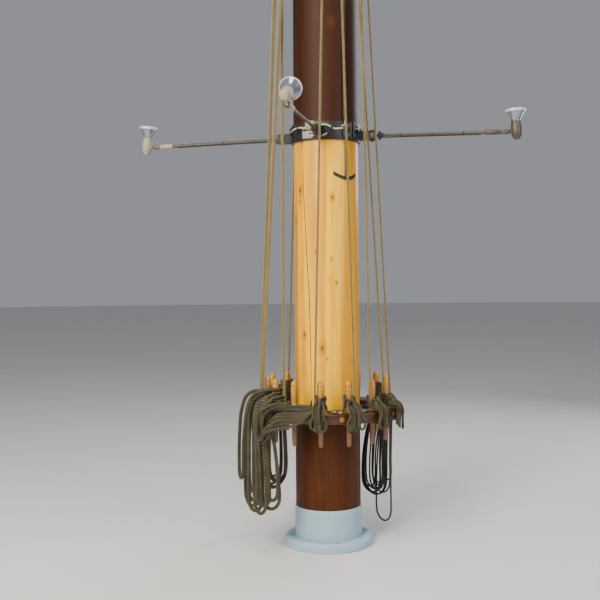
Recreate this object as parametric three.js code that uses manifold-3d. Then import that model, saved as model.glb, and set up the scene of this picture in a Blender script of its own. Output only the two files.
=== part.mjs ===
// A ship's lower mast, from its heel on the deck to its cap, with its ring pin rail, belaying pins,
// hung-up lines, band of working lamps, blocks and top. Millimetres, +Z up, +Y aft, +X to port.
// The origin is the centre of the flat heel, on the deck.

import * as THREE from "three";
import { mergeVertices } from "three/addons/utils/BufferGeometryUtils.js";
import Module from "manifold-3d";

const wasm = await Module();
wasm.setup();

// Driving dimensions. GAP is the clearance between pieces that touch.
const GAP = 0.3;

// The angles below are counted round the mast, to the right as seen from outside, from the side that faces
// forward and a little to starboard. AFT_TURN lines them up with the ship.
const AFT_TURN = -26;

// The mast's radius at some heights: columns z, radius.
const MAST_TAPER = [
  [0, 210],
  [2700, 207.5],
  [4500, 199],
  [6000, 186],
  [7200, 170],
];
const MAST_SIDES = 32;
const HOUNDS_Z = 7200;
const HEAD = { side: 250, corner: 30, top: 8250, tenonSide: 180, tenonTop: 8390 };

const BOOT = { thick: 4.5, height: 250 };
const COLLAR = { outer: 285, height: 60, slope: 18 };

const RAIL = { inner: 315, outer: 465, bottom: 832, top: 892, sides: 56 };
const RAIL_HOOP = { thick: 9, bottom: 842, top: 882, arms: 7, firstArm: 9, armWidth: 40, armHeight: 30 };

const PINS = { count: 14, first: -8, circle: 385, hole: 17.2, sides: 8 };
// A belaying pin's outline above the rail's top face: columns radius, z.
const PIN_OUTLINE = [
  [0, -210],
  [12, -208],
  [15.5, -196],
  [15.5, GAP],
  [21, GAP],
  [21, 8],
  [17, 24],
  [20, 70],
  [22, 128],
  [20, 168],
  [12, 188],
  [0, 194],
];

const LAMP_BAND = { bottom: 2571, top: 2685, thick: 13 };
const ARM_Z = 2618;
// The lamps on the band: columns name, angle round the mast, tilt towards the mast at rest, and how far
// out the tilt pin is.
const LAMPS = [
  ["right", 82, 4, 1148],
  ["front", -11.8, 66, 1148],
  ["left", -108.8, 6, 1235],
  ["back", 172, 4, 1148],
];
const BRACKET = { neckEnd: 268, jawEnd: 324, width: 52, height: 60, mouth: 35, pivot: 300, pinRadius: 6 };
const ARM = { lugRadius: 24, rodRadius: 10 };
const FORK = { length: 30, root: 14, width: 30, height: 26, slotDepth: 20, slotWidth: 18 };
const TILT = { pinRadius: 4, earWidth: 15.4, earRadius: 11, offset: 52, endRound: 13 };
// A lamp's outline along its own axis, counted from the tilt pin's level: columns radius, height.
const LAMP_OUTLINE = [
  [0, -52],
  [20, -50],
  [24, -40],
  [33, -34],
  [34, 52],
  [30, 62],
  [32, 74],
  [50, 104],
  [62, 120],
  [64, 132],
  [60, 138],
  [0, 142],
];

const BAND_CABLE = { radius: 5, z: 2662 };
const MAST_CABLE = { radius: 9, angle: 30, lean: 14, bottom: 2700, top: 7040, steps: 8 };

const UPPER_BAND = { bottom: 5250, top: 5330, thick: 12, lugTop: 5312, lugBottom: 5274, lugWidth: 16 };
// The lugs on the upper band: columns angle, reach.
const LUGS = [
  [-67, 300],
  [-45, 330],
  [6.4, 330],
  [29, 330],
  [52, 262],
  [195, 330],
];
// The blocks that hang from the lugs: columns name, angle, drop of the sheave's pin below the lug, and how
// far the block is turned about its stem.
const BLOCKS = [
  ["left", -45, 160, 0],
  ["front", 6.4, 160, 60],
  ["right", 29, 330, 0],
  ["back", 195, 160, 0],
];
const BLOCK = { hang: 305, width: 104, height: 170, thick: 66, mortise: 26, pin: 8, hook: 8 };
const SHEAVE = { radius: 42, groove: 8, thick: 20, bore: 9 };

const CHEEK = { face: 150, thick: 70, bottom: 6240, topHalf: 150, bottomHalf: 60 };
const TRESTLE = { inner: 135, width: 90, height: 170, fore: -800, aft: 700, snipe: 60 };
const CROSS = { half: 1000, width: 90, height: 80, stations: [-520, 250], snipe: 30 };
const TOP = { half: 960, fore: -760, aft: 600, round: 420, thick: 45 };
const TOP_HOLE = { half: 330, fore: -470, aft: 200 };
const CAP = { half: 180, fore: -520, aft: 190, round: 60, height: 150, mastHole: 112, mastY: -330 };

// The hung-up lines: columns name, angle, reach to the left and to the right, half-width over the rail,
// z of the widest place, lowest z, depth out from the rail's edge, top z.
const HANKS = [
  ["hank_thick", -64, 150, 215, 100, 620, 240, 96, 960],
  ["hank_bundle", -32.5, 105, 105, 100, 880, 765, 62, 935],
  ["hank_pin_01", -8, 46, 46, 40, 850, 785, 50, 980],
  ["hank_pin_02", 18.5, 59, 59, 40, 840, 780, 50, 980],
  ["hank_pin_03", 39, 46, 46, 40, 850, 800, 50, 960],
  ["hank_pin_04", 56, 50, 50, 45, 850, 740, 60, 975],
  ["hank_thin", 133, 130, 130, 45, 640, 45, 84, 950],
  ["hank_back", -136.6, 125, 125, 75, 640, 260, 84, 955],
];
// Where a hung-up line starts on the rail's top, how far its fall stays off the rail's edge, and how far
// its fall reaches above the rail's top.
const SADDLE = { inner: 413, clear: 1.5, rise: 20 };

// The finishes: columns colour, roughness, metalness.
const MATERIALS = {
  pine: [0xc98a3c, 0.35, 0],
  pinRailOak: [0xa0622d, 0.4, 0],
  ash: [0xb06a2a, 0.3, 0],
  paint: [0xc9d6dc, 0.5, 0],
  iron: [0x1d1f22, 0.55, 0.6],
  hemp: [0x8d8168, 0.9, 0],
  lampMetal: [0x8b8674, 0.6, 0.2],
  cable: [0xc9bfa0, 0.6, 0],
  oak: [0x8a5a30, 0.6, 0],
  elm: [0x6b4a2c, 0.6, 0],
  bronze: [0x8f7440, 0.4, 0.9],
};

const model = new THREE.Group();
const radians = THREE.MathUtils.degToRad;

const materials = Object.fromEntries(
  Object.entries(MATERIALS).map(([name, [color, roughness, metalness]]) => [
    name,
    new THREE.MeshStandardMaterial({ name, color, roughness, metalness }),
  ]),
);

// A named piece in its group.
function piece(name, geometry, material, group = model) {
  const mesh = new THREE.Mesh(geometry, materials[material]);
  mesh.name = name;
  group.add(mesh);
  return mesh;
}

// A group at an angle round the mast: in it, -Y points away from the mast and +X to the right from outside.
function station(degrees) {
  const group = new THREE.Group();
  group.rotation.z = radians(degrees + AFT_TURN);
  model.add(group);
  return group;
}

function toManifold(geometry) {
  const bare = geometry.clone();
  bare.deleteAttribute("normal");
  bare.deleteAttribute("uv");
  const merged = mergeVertices(bare, 1e-4);
  return new wasm.Manifold(
    new wasm.Mesh({
      numProp: 3,
      vertProperties: new Float32Array(merged.attributes.position.array),
      triVerts: new Uint32Array(merged.index.array),
    }),
  );
}

function toGeometry(manifold) {
  const mesh = manifold.getMesh();
  const geometry = new THREE.BufferGeometry();
  const positions = new Float32Array(mesh.vertProperties);
  geometry.setAttribute("position", new THREE.BufferAttribute(positions, 3));
  geometry.setIndex(new THREE.BufferAttribute(new Uint32Array(mesh.triVerts), 1));
  return geometry;
}

function join(...solids) {
  return toGeometry(solids.map(toManifold).reduce((whole, next) => whole.add(next)));
}

function cut(solid, ...tools) {
  return toGeometry(tools.map(toManifold).reduce((left, tool) => left.subtract(tool), toManifold(solid)));
}

// A box from one corner to the other.
function box(x0, x1, y0, y1, z0, z1) {
  const solid = new THREE.BoxGeometry(x1 - x0, y1 - y0, z1 - z0);
  return solid.translate((x0 + x1) / 2, (y0 + y1) / 2, (z0 + z1) / 2);
}

// A solid of revolution about Z. Its profile has rows of radius, z.
function turned(profile, sides) {
  const points = profile.map(([radius, z]) => new THREE.Vector2(radius, z));
  return new THREE.LatheGeometry(points, sides).rotateX(Math.PI / 2);
}

// A square-edged ring about Z.
function ring(inner, outer, bottom, top, sides) {
  return turned([[inner, bottom], [outer, bottom], [outer, top], [inner, top], [inner, bottom]], sides);
}

// A round bar along Z.
function barZ(radius, z0, z1, sides = 12) {
  const bar = new THREE.CylinderGeometry(radius, radius, z1 - z0, sides);
  return bar.rotateX(Math.PI / 2).translate(0, 0, (z0 + z1) / 2);
}

// A round bar along X.
function barX(radius, half, sides = 12) {
  return new THREE.CylinderGeometry(radius, radius, 2 * half, sides).rotateZ(Math.PI / 2);
}

// A plate: a flat outline of x, y, pushed up along Z.
function plate(shape, z0, z1, curveSegments = 8) {
  const options = { depth: z1 - z0, bevelEnabled: false, curveSegments };
  return new THREE.ExtrudeGeometry(shape, options).translate(0, 0, z0);
}

function outline(points) {
  return new THREE.Shape(points.map(([x, y]) => new THREE.Vector2(x, y)));
}

function mastRadius(z) {
  const above = MAST_TAPER.findIndex(([height]) => height >= z);
  if (above <= 0) return MAST_TAPER[0][1];
  const [[z0, r0], [z1, r1]] = MAST_TAPER.slice(above - 1, above + 1);
  return r0 + ((r1 - r0) * (z - z0)) / (z1 - z0);
}

// The spar: a round pole, flats for the cheeks, and a squared head with a tenon for the cap. The head and
// the tenon start a little inside what carries them, so that they join.
function spar() {
  const sunk = { head: 40, tenon: 20 };
  const pole = turned([[0, 0], ...MAST_TAPER.map(([z, radius]) => [radius, z]), [0, HOUNDS_Z]], MAST_SIDES);
  const half = HEAD.side / 2;
  const inner = half - HEAD.corner;
  const square = outline([
    [half, -inner], [half, inner], [inner, half], [-inner, half],
    [-half, inner], [-half, -inner], [-inner, -half], [inner, -half],
  ]);
  const head = plate(square, HOUNDS_Z - sunk.head, HEAD.top);
  const tenonHalf = HEAD.tenonSide / 2;
  const tenonLow = HEAD.top - sunk.tenon;
  const tenon = box(-tenonHalf, tenonHalf, -tenonHalf, tenonHalf, tenonLow, HEAD.tenonTop);
  const widest = MAST_TAPER[0][1];
  const flats = [-1, 1].map((side) => {
    const x = side * (CHEEK.face + widest / 2);
    return box(x - widest / 2, x + widest / 2, -widest, widest, CHEEK.bottom - 10, HOUNDS_Z + 50);
  });
  return join(cut(pole, ...flats), head, tenon);
}

function foot() {
  const boot = mastRadius(0) + GAP + BOOT.thick;
  piece("mast_boot", ring(mastRadius(0) + GAP, boot, 0, BOOT.height, MAST_SIDES), "paint");
  const inner = boot + GAP;
  const collar = [
    [inner, 0], [COLLAR.outer, 0], [COLLAR.outer, COLLAR.height - COLLAR.slope],
    [COLLAR.outer - COLLAR.slope, COLLAR.height], [inner, COLLAR.height], [inner, 0],
  ];
  piece("deck_collar", turned(collar, MAST_SIDES), "paint");
}

const pinAngle = (index) => PINS.first + (360 / PINS.count) * index;

// The pin rail, the iron hoop that carries it, and the pins in its holes.
function pinRail() {
  const holes = [];
  for (let index = 0; index < PINS.count; index++) {
    const angle = radians(pinAngle(index) + AFT_TURN);
    const hole = barZ(PINS.hole, RAIL.bottom - 5, RAIL.top + 5, PINS.sides);
    holes.push(hole.translate(PINS.circle * Math.sin(angle), -PINS.circle * Math.cos(angle), 0));
  }
  const plank = ring(RAIL.inner, RAIL.outer, RAIL.bottom, RAIL.top, RAIL.sides);
  piece("pin_rail", cut(plank, ...holes), "pinRailOak");

  const hoopInner = mastRadius(RAIL_HOOP.bottom) + GAP;
  const middle = (RAIL_HOOP.bottom + RAIL_HOOP.top) / 2;
  const armEnd = RAIL.inner * Math.cos(Math.PI / RAIL.sides) - 1;
  const half = RAIL_HOOP.armWidth / 2;
  const rise = RAIL_HOOP.armHeight / 2;
  const arms = Array.from({ length: RAIL_HOOP.arms }, (_, index) => {
    const arm = box(-half, half, -armEnd, -(hoopInner + 4), middle - rise, middle + rise);
    return arm.rotateZ(radians(RAIL_HOOP.firstArm + (360 / RAIL_HOOP.arms) * index + AFT_TURN));
  });
  const hoop = ring(hoopInner, hoopInner + RAIL_HOOP.thick, RAIL_HOOP.bottom, RAIL_HOOP.top, MAST_SIDES);
  piece("rail_hoop", join(hoop, ...arms), "iron");

  for (let index = 0; index < PINS.count; index++) {
    const name = `pin_${String(index + 1).padStart(2, "0")}`;
    const pin = piece(name, turned(PIN_OUTLINE, PINS.sides), "ash", station(pinAngle(index)));
    pin.position.set(0, -PINS.circle, RAIL.top);
  }
}

// The black band: a hoop with a forked bracket and an upright pin for each lamp's arm.
function lampBand() {
  const inner = mastRadius(LAMP_BAND.bottom) + GAP;
  const outer = inner + LAMP_BAND.thick;
  const half = BRACKET.width / 2;
  const low = ARM_Z - BRACKET.height / 2;
  const high = ARM_Z + BRACKET.height / 2;
  const mouthLow = ARM_Z - BRACKET.mouth / 2;
  const mouthHigh = ARM_Z + BRACKET.mouth / 2;
  const brackets = LAMPS.map(([, angle]) => {
    const block = box(-half, half, -BRACKET.jawEnd, -(outer - 6), low, high);
    const mouth = box(-half - 1, half + 1, -BRACKET.jawEnd - 1, -BRACKET.neckEnd, mouthLow, mouthHigh);
    const pin = barZ(BRACKET.pinRadius, low - 8, high + 8).translate(0, -BRACKET.pivot, 0);
    return join(cut(block, mouth), pin).rotateZ(radians(angle + AFT_TURN));
  });
  const hoop = ring(inner, outer, LAMP_BAND.bottom, LAMP_BAND.top, MAST_SIDES);
  piece("lamp_band", join(hoop, ...brackets), "iron");
  const turn = outer + BAND_CABLE.radius + GAP;
  const cable = new THREE.TorusGeometry(turn, BAND_CABLE.radius, 6, MAST_SIDES);
  piece("band_cable", cable.translate(0, 0, BAND_CABLE.z), "cable");
}

// One arm: a lug on the bracket's pin, a bar, and a fork with the tilt pin at its tip.
function lampArm(tip) {
  const lugHalf = BRACKET.mouth / 2 - 0.5;
  const lug = barZ(ARM.lugRadius, -lugHalf, lugHalf, 16).translate(0, -BRACKET.pivot, 0);
  const eye = barZ(BRACKET.pinRadius + 0.5, -lugHalf - 1, lugHalf + 1).translate(0, -BRACKET.pivot, 0);
  const forkRoot = tip - FORK.length - FORK.root;
  const rodStart = BRACKET.pivot + ARM.lugRadius - 6;
  const bar = barZ(ARM.rodRadius, 0, forkRoot + 4 - rodStart);
  const rod = bar.rotateX(Math.PI / 2).translate(0, -rodStart, 0);
  const halfWidth = FORK.width / 2;
  const halfHeight = FORK.height / 2;
  const fork = join(
    box(-halfWidth, halfWidth, -tip, -forkRoot, -halfHeight, halfHeight),
    barX(TILT.endRound, halfWidth, 16).translate(0, -tip, 0),
  );
  const slotHalf = FORK.slotWidth / 2;
  const slot = box(-slotHalf, slotHalf, -tip - 20, -tip + FORK.slotDepth, -20, 20);
  const pin = barX(TILT.pinRadius, halfWidth + 5, 10).translate(0, -tip, 0);
  return join(cut(join(lug, rod, fork), eye, slot), pin);
}

// One lamp about its tilt pin: an ear, a holder and a glass lamp that flares to its face.
function lampHead() {
  const body = turned(LAMP_OUTLINE, 20).translate(0, -TILT.offset, 0);
  const half = TILT.earWidth / 2;
  const ear = join(
    box(-half, half, -TILT.offset + 24, 0, -TILT.earRadius, TILT.earRadius),
    barX(TILT.earRadius, half, 16),
  );
  return cut(join(body, ear), barX(TILT.pinRadius + 0.5, half + 1, 10));
}

function lamps() {
  const head = lampHead();
  for (const [name, angle, tilt, tip] of LAMPS) {
    const group = station(angle);
    piece(`lamp_arm_${name}`, lampArm(tip), "lampMetal", group).position.set(0, 0, ARM_Z);
    const mesh = piece(`lamp_head_${name}`, head, "lampMetal", group);
    mesh.position.set(0, -tip, ARM_Z);
    mesh.rotation.x = -radians(tilt);
  }
}

// The feed cable, which lies on the mast's side from the lamp band to under the top.
function mastCable() {
  const { radius, bottom, top, steps } = MAST_CABLE;
  const points = Array.from({ length: steps + 1 }, (_, step) => {
    const share = step / steps;
    const z = bottom + (top - bottom) * share;
    const angle = radians(MAST_CABLE.angle + MAST_CABLE.lean * share + AFT_TURN);
    const inUpperBand = UPPER_BAND.thick + 4;
    const away = mastRadius(z) + radius + GAP + inUpperBand * Math.exp(-(((z - 5290) / 420) ** 2));
    return new THREE.Vector3(away * Math.sin(angle), -away * Math.cos(angle), z);
  });
  const section = new THREE.Shape().absarc(0, 0, radius, 0, 2 * Math.PI);
  const path = new THREE.CatmullRomCurve3(points);
  const cable = new THREE.ExtrudeGeometry(section, {
    steps: steps * 3, curveSegments: 4, bevelEnabled: false, extrudePath: path,
  });
  piece("mast_cable", cable, "iron");
}

// The upper band, with a lug for each block and each single line.
function upperBand() {
  const inner = mastRadius(UPPER_BAND.bottom) + GAP;
  const outer = inner + UPPER_BAND.thick;
  const half = UPPER_BAND.lugWidth / 2;
  const lugs = LUGS.map(([angle, reach]) => {
    const lug = box(-half, half, -reach, -(outer - 5), UPPER_BAND.lugBottom, UPPER_BAND.lugTop);
    return lug.rotateZ(radians(angle + AFT_TURN));
  });
  const hoop = ring(inner, outer, UPPER_BAND.bottom, UPPER_BAND.top, MAST_SIDES);
  piece("upper_band", join(hoop, ...lugs), "iron");
}

// A block's shell about its sheave's pin, which lies along Y: an oval body with a mortise for the sheave,
// the pin across it, and the stem that it hangs by.
function blockShell(drop) {
  const { width, height, thick, mortise, pin, hook } = BLOCK;
  const oval = new THREE.Shape().absellipse(0, 0, width / 2, height / 2, 0, 2 * Math.PI);
  const body = plate(oval, -thick / 2, thick / 2, 10).rotateX(Math.PI / 2);
  const wide = SHEAVE.radius + 7;
  const tall = SHEAVE.radius + 12;
  const room = box(-wide, wide, -mortise / 2, mortise / 2, -tall, tall);
  const axle = barZ(pin, -thick / 2 + 2, thick / 2 - 2, 10).rotateX(Math.PI / 2);
  const stem = barZ(hook, height / 2 - 8, drop - GAP, 10);
  return join(cut(body, room), axle, stem);
}

// A sheave about its pin, with a groove for the line.
function blockSheave() {
  const { radius, groove, thick, bore } = SHEAVE;
  const half = thick / 2;
  const section = [
    [bore, -half], [radius, -half], [radius - groove, 0], [radius, half], [bore, half], [bore, -half],
  ];
  return turned(section, 16).rotateX(Math.PI / 2);
}

function blocks() {
  const wheel = blockSheave();
  for (const [name, angle, drop, turn] of BLOCKS) {
    const group = station(angle);
    const z = UPPER_BAND.lugBottom - drop;
    for (const [kind, body, material] of [["block", blockShell(drop), "elm"], ["sheave", wheel, "bronze"]]) {
      const mesh = piece(`${kind}_${name}`, body, material, group);
      mesh.position.set(0, -BLOCK.hang, z);
      mesh.rotation.z = radians(turn);
    }
  }
}

// A beam with its lower corners cut off at both ends: its side view, pushed across its width.
function beam(from, to, height, width, snipe) {
  const side = outline([
    [from + snipe * 2, 0], [to - snipe * 2, 0], [to, snipe], [to, height], [from, height], [from, snipe],
  ]);
  return plate(side, -width / 2, width / 2).rotateX(Math.PI / 2);
}

// The hounds and the top: cheeks, trestletrees, crosstrees, the platform and the cap.
function top() {
  const sides = [["starboard", -1], ["port", 1]];
  const cheek = outline([
    [-CHEEK.topHalf, HOUNDS_Z], [-CHEEK.topHalf, HOUNDS_Z - 120], [-CHEEK.bottomHalf, CHEEK.bottom + 40],
    [-CHEEK.bottomHalf + 30, CHEEK.bottom], [CHEEK.bottomHalf - 30, CHEEK.bottom],
    [CHEEK.bottomHalf, CHEEK.bottom + 40], [CHEEK.topHalf, HOUNDS_Z - 120], [CHEEK.topHalf, HOUNDS_Z],
  ].reverse());
  for (const [name, side] of sides) {
    const start = side > 0 ? CHEEK.face + GAP : -CHEEK.face - GAP - CHEEK.thick;
    const board = plate(cheek, 0, CHEEK.thick).rotateX(Math.PI / 2).rotateZ(Math.PI / 2);
    piece(`cheek_${name}`, board.translate(start, 0, 0), "oak");
    const trestle = beam(TRESTLE.fore, TRESTLE.aft, TRESTLE.height, TRESTLE.width, TRESTLE.snipe);
    const x = side * (TRESTLE.inner + TRESTLE.width / 2);
    piece(`trestletree_${name}`, trestle.rotateZ(Math.PI / 2).translate(x, 0, HOUNDS_Z + GAP), "oak");
  }
  const crossZ = HOUNDS_Z + TRESTLE.height + 2 * GAP;
  CROSS.stations.forEach((y, index) => {
    const cross = beam(-CROSS.half, CROSS.half, CROSS.height, CROSS.width, CROSS.snipe);
    piece(`crosstree_${["fore", "aft"][index]}`, cross.translate(0, y, crossZ), "oak");
  });

  const deckZ = crossZ + CROSS.height + GAP;
  const deck = new THREE.Shape();
  deck.moveTo(-TOP.half, TOP.aft);
  deck.lineTo(-TOP.half, TOP.fore + TOP.round);
  deck.quadraticCurveTo(-TOP.half, TOP.fore, -TOP.half + TOP.round, TOP.fore);
  deck.lineTo(TOP.half - TOP.round, TOP.fore);
  deck.quadraticCurveTo(TOP.half, TOP.fore, TOP.half, TOP.fore + TOP.round);
  deck.lineTo(TOP.half, TOP.aft);
  deck.closePath();
  const { half, fore, aft } = TOP_HOLE;
  const hole = box(-half, half, fore, aft, deckZ - 10, deckZ + TOP.thick + 10);
  piece("top_platform", cut(plate(deck, deckZ, deckZ + TOP.thick), hole), "oak");

  const capZ = HEAD.top + GAP;
  const capTop = capZ + CAP.height;
  const block = new THREE.Shape();
  block.moveTo(-CAP.half, CAP.aft);
  block.lineTo(-CAP.half, CAP.fore + CAP.round);
  block.quadraticCurveTo(-CAP.half, CAP.fore, -CAP.half + CAP.round, CAP.fore);
  block.lineTo(CAP.half - CAP.round, CAP.fore);
  block.quadraticCurveTo(CAP.half, CAP.fore, CAP.half, CAP.fore + CAP.round);
  block.lineTo(CAP.half, CAP.aft);
  block.closePath();
  const tenonHalf = HEAD.tenonSide / 2 + GAP;
  const square = box(-tenonHalf, tenonHalf, -tenonHalf, tenonHalf, capZ - 10, capTop + 10);
  const round = barZ(CAP.mastHole, capZ - 10, capTop + 10, 24).translate(0, CAP.mastY, 0);
  piece("mast_cap", cut(plate(block, capZ, capTop, 4), square, round), "oak");
}

// A hung-up line's outer shape: a flat fall with a round lower end outside the rail, and the part that
// lies over the rail.
function hank(left, right, neck, wideZ, low, depth, high) {
  const roundEnd = Math.min(left, right, wideZ - low);
  const fallTop = RAIL.top + SADDLE.rise;
  const front = new THREE.Shape();
  front.moveTo(-neck, fallTop);
  front.lineTo(-left, wideZ);
  front.lineTo(-left, low + roundEnd);
  front.quadraticCurveTo(-left, low, -left + roundEnd, low);
  front.lineTo(right - roundEnd, low);
  front.quadraticCurveTo(right, low, right, low + roundEnd);
  front.lineTo(right, wideZ);
  front.lineTo(neck, fallTop);
  front.closePath();
  const fall = plate(front, 0, depth, 4).rotateX(Math.PI / 2).translate(0, -RAIL.outer - SADDLE.clear, 0);
  const saddle = box(-neck, neck, -RAIL.outer - depth, -SADDLE.inner, RAIL.top + GAP, high);
  return join(fall, saddle);
}

function hanks() {
  for (const [name, angle, ...sizes] of HANKS) {
    piece(name, hank(...sizes), "hemp", station(angle));
  }
}

piece("mast_pole", spar(), "pine");
foot();
pinRail();
lampBand();
lamps();
mastCable();
upperBand();
blocks();
top();
hanks();

export default model;
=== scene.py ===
"""A ship's lower mast with its ring pin rail, lines, lamps, blocks and top, dressed over its solid model.

Lengths are metres, +Z up, +Y aft and +X to port. Angles round the mast are counted to the right as seen from
outside, from the side that the camera faces.
"""

import logging
import random
from dataclasses import dataclass
from enum import Enum
from math import atan2, ceil, cos, exp, pi, radians, sin, sqrt, tau
from math import degrees as in_degrees
from typing import Sequence

import bmesh
import bpy
from mathutils import Matrix, Quaternion, Vector


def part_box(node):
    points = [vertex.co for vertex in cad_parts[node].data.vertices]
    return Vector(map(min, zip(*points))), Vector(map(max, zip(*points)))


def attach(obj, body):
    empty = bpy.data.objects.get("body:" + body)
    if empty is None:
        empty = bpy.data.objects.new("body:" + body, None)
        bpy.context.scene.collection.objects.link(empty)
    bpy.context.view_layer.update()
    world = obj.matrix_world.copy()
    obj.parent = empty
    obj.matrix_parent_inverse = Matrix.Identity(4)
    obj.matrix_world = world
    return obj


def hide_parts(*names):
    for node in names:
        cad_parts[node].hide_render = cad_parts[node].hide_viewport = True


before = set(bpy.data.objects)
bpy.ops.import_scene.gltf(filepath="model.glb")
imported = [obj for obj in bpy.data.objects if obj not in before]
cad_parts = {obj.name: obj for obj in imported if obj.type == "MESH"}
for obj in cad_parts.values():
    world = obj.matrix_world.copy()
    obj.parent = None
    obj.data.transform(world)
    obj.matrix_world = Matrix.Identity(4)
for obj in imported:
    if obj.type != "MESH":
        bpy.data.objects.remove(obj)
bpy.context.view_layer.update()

LOG = logging.getLogger("mast")

AFT_TURN = -26.0
RAIL_LOW, RAIL_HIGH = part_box("pin_rail")
RAIL_BOTTOM, RAIL_TOP = RAIL_LOW.z, RAIL_HIGH.z
RAIL_OUT = RAIL_HIGH.x - 0.0006
RAIL_ROUND = 0.007
PIN_CIRCLE = 0.385
PIN_COUNT = 14
FIRST_PIN = -8.0
HEEL_RADIUS = 0.21
HOUNDS = 7.2
BLOCK_OUT = 0.305
LUG_BOTTOM = 5.274
# Each block's angle, its turn about its stem and its sheave's height.
BLOCKS = {
    "left": (-45.0, 0.0, 5.114), "front": (6.4, 60.0, 5.114), "right": (29.0, 0.0, 4.944),
    "back": (195.0, 0.0, 5.114),
}


class Grain(Enum):
    """Which way a timber's grain runs, as the factors that its coordinates are squeezed by."""

    UPRIGHT = (1.0, 1.0, 0.07)
    LENGTHWISE = (1.0, 0.07, 1.0)
    ATHWART = (0.07, 1.0, 1.0)
    ROUND = None


def colour(code: str, gain: float = 1.0) -> tuple:
    """Turns a screen colour into the linear one that a shader wants.

    Args:
        code: six hexadecimal digits.
        gain: multiplies the linear colour.

    Returns:
        Red, green, blue and an alpha of one.
    """
    parts = [int(code[place : place + 2], 16) / 255 for place in (0, 2, 4)]
    linear = [part / 12.92 if part <= 0.04045 else ((part + 0.055) / 1.055) ** 2.4 for part in parts]
    red, green, blue = (min(1.0, part * gain) for part in linear)
    return red, green, blue, 1.0


class Value:
    """One value in a material's graph. Python's operators on it add Math nodes."""

    def __init__(self, graph: "Graph", socket: bpy.types.NodeSocket) -> None:
        """Keeps the graph and the socket that gives the value."""
        self.graph = graph
        self.socket = socket

    def math(self, operation: str, *others: "Value | float") -> "Value":
        """Runs one Math operation on this value and the others."""
        return self.graph.node("ShaderNodeMath", {"operation": operation}, dict(enumerate((self, *others))))

    def __add__(self, other: "Value | float") -> "Value":
        """Adds."""
        return self.math("ADD", other)

    def __sub__(self, other: "Value | float") -> "Value":
        """Subtracts."""
        return self.math("SUBTRACT", other)

    def __rsub__(self, other: float) -> "Value":
        """Subtracts this value from a number."""
        return self.graph.node("ShaderNodeMath", {"operation": "SUBTRACT"}, {0: other, 1: self})

    def __mul__(self, other: "Value | float") -> "Value":
        """Multiplies."""
        return self.math("MULTIPLY", other)

    def __pow__(self, other: float) -> "Value":
        """Raises to a power."""
        return self.math("POWER", other)

    __radd__ = __add__
    __rmul__ = __mul__

    def above(self, start: float, end: float) -> "Value":
        """Goes smoothly from 0 at start to 1 at end."""
        settings = {"interpolation_type": "SMOOTHSTEP"}
        return self.graph.node("ShaderNodeMapRange", settings, {0: self, 1: start, 2: end, 3: 0.0, 4: 1.0})


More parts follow.
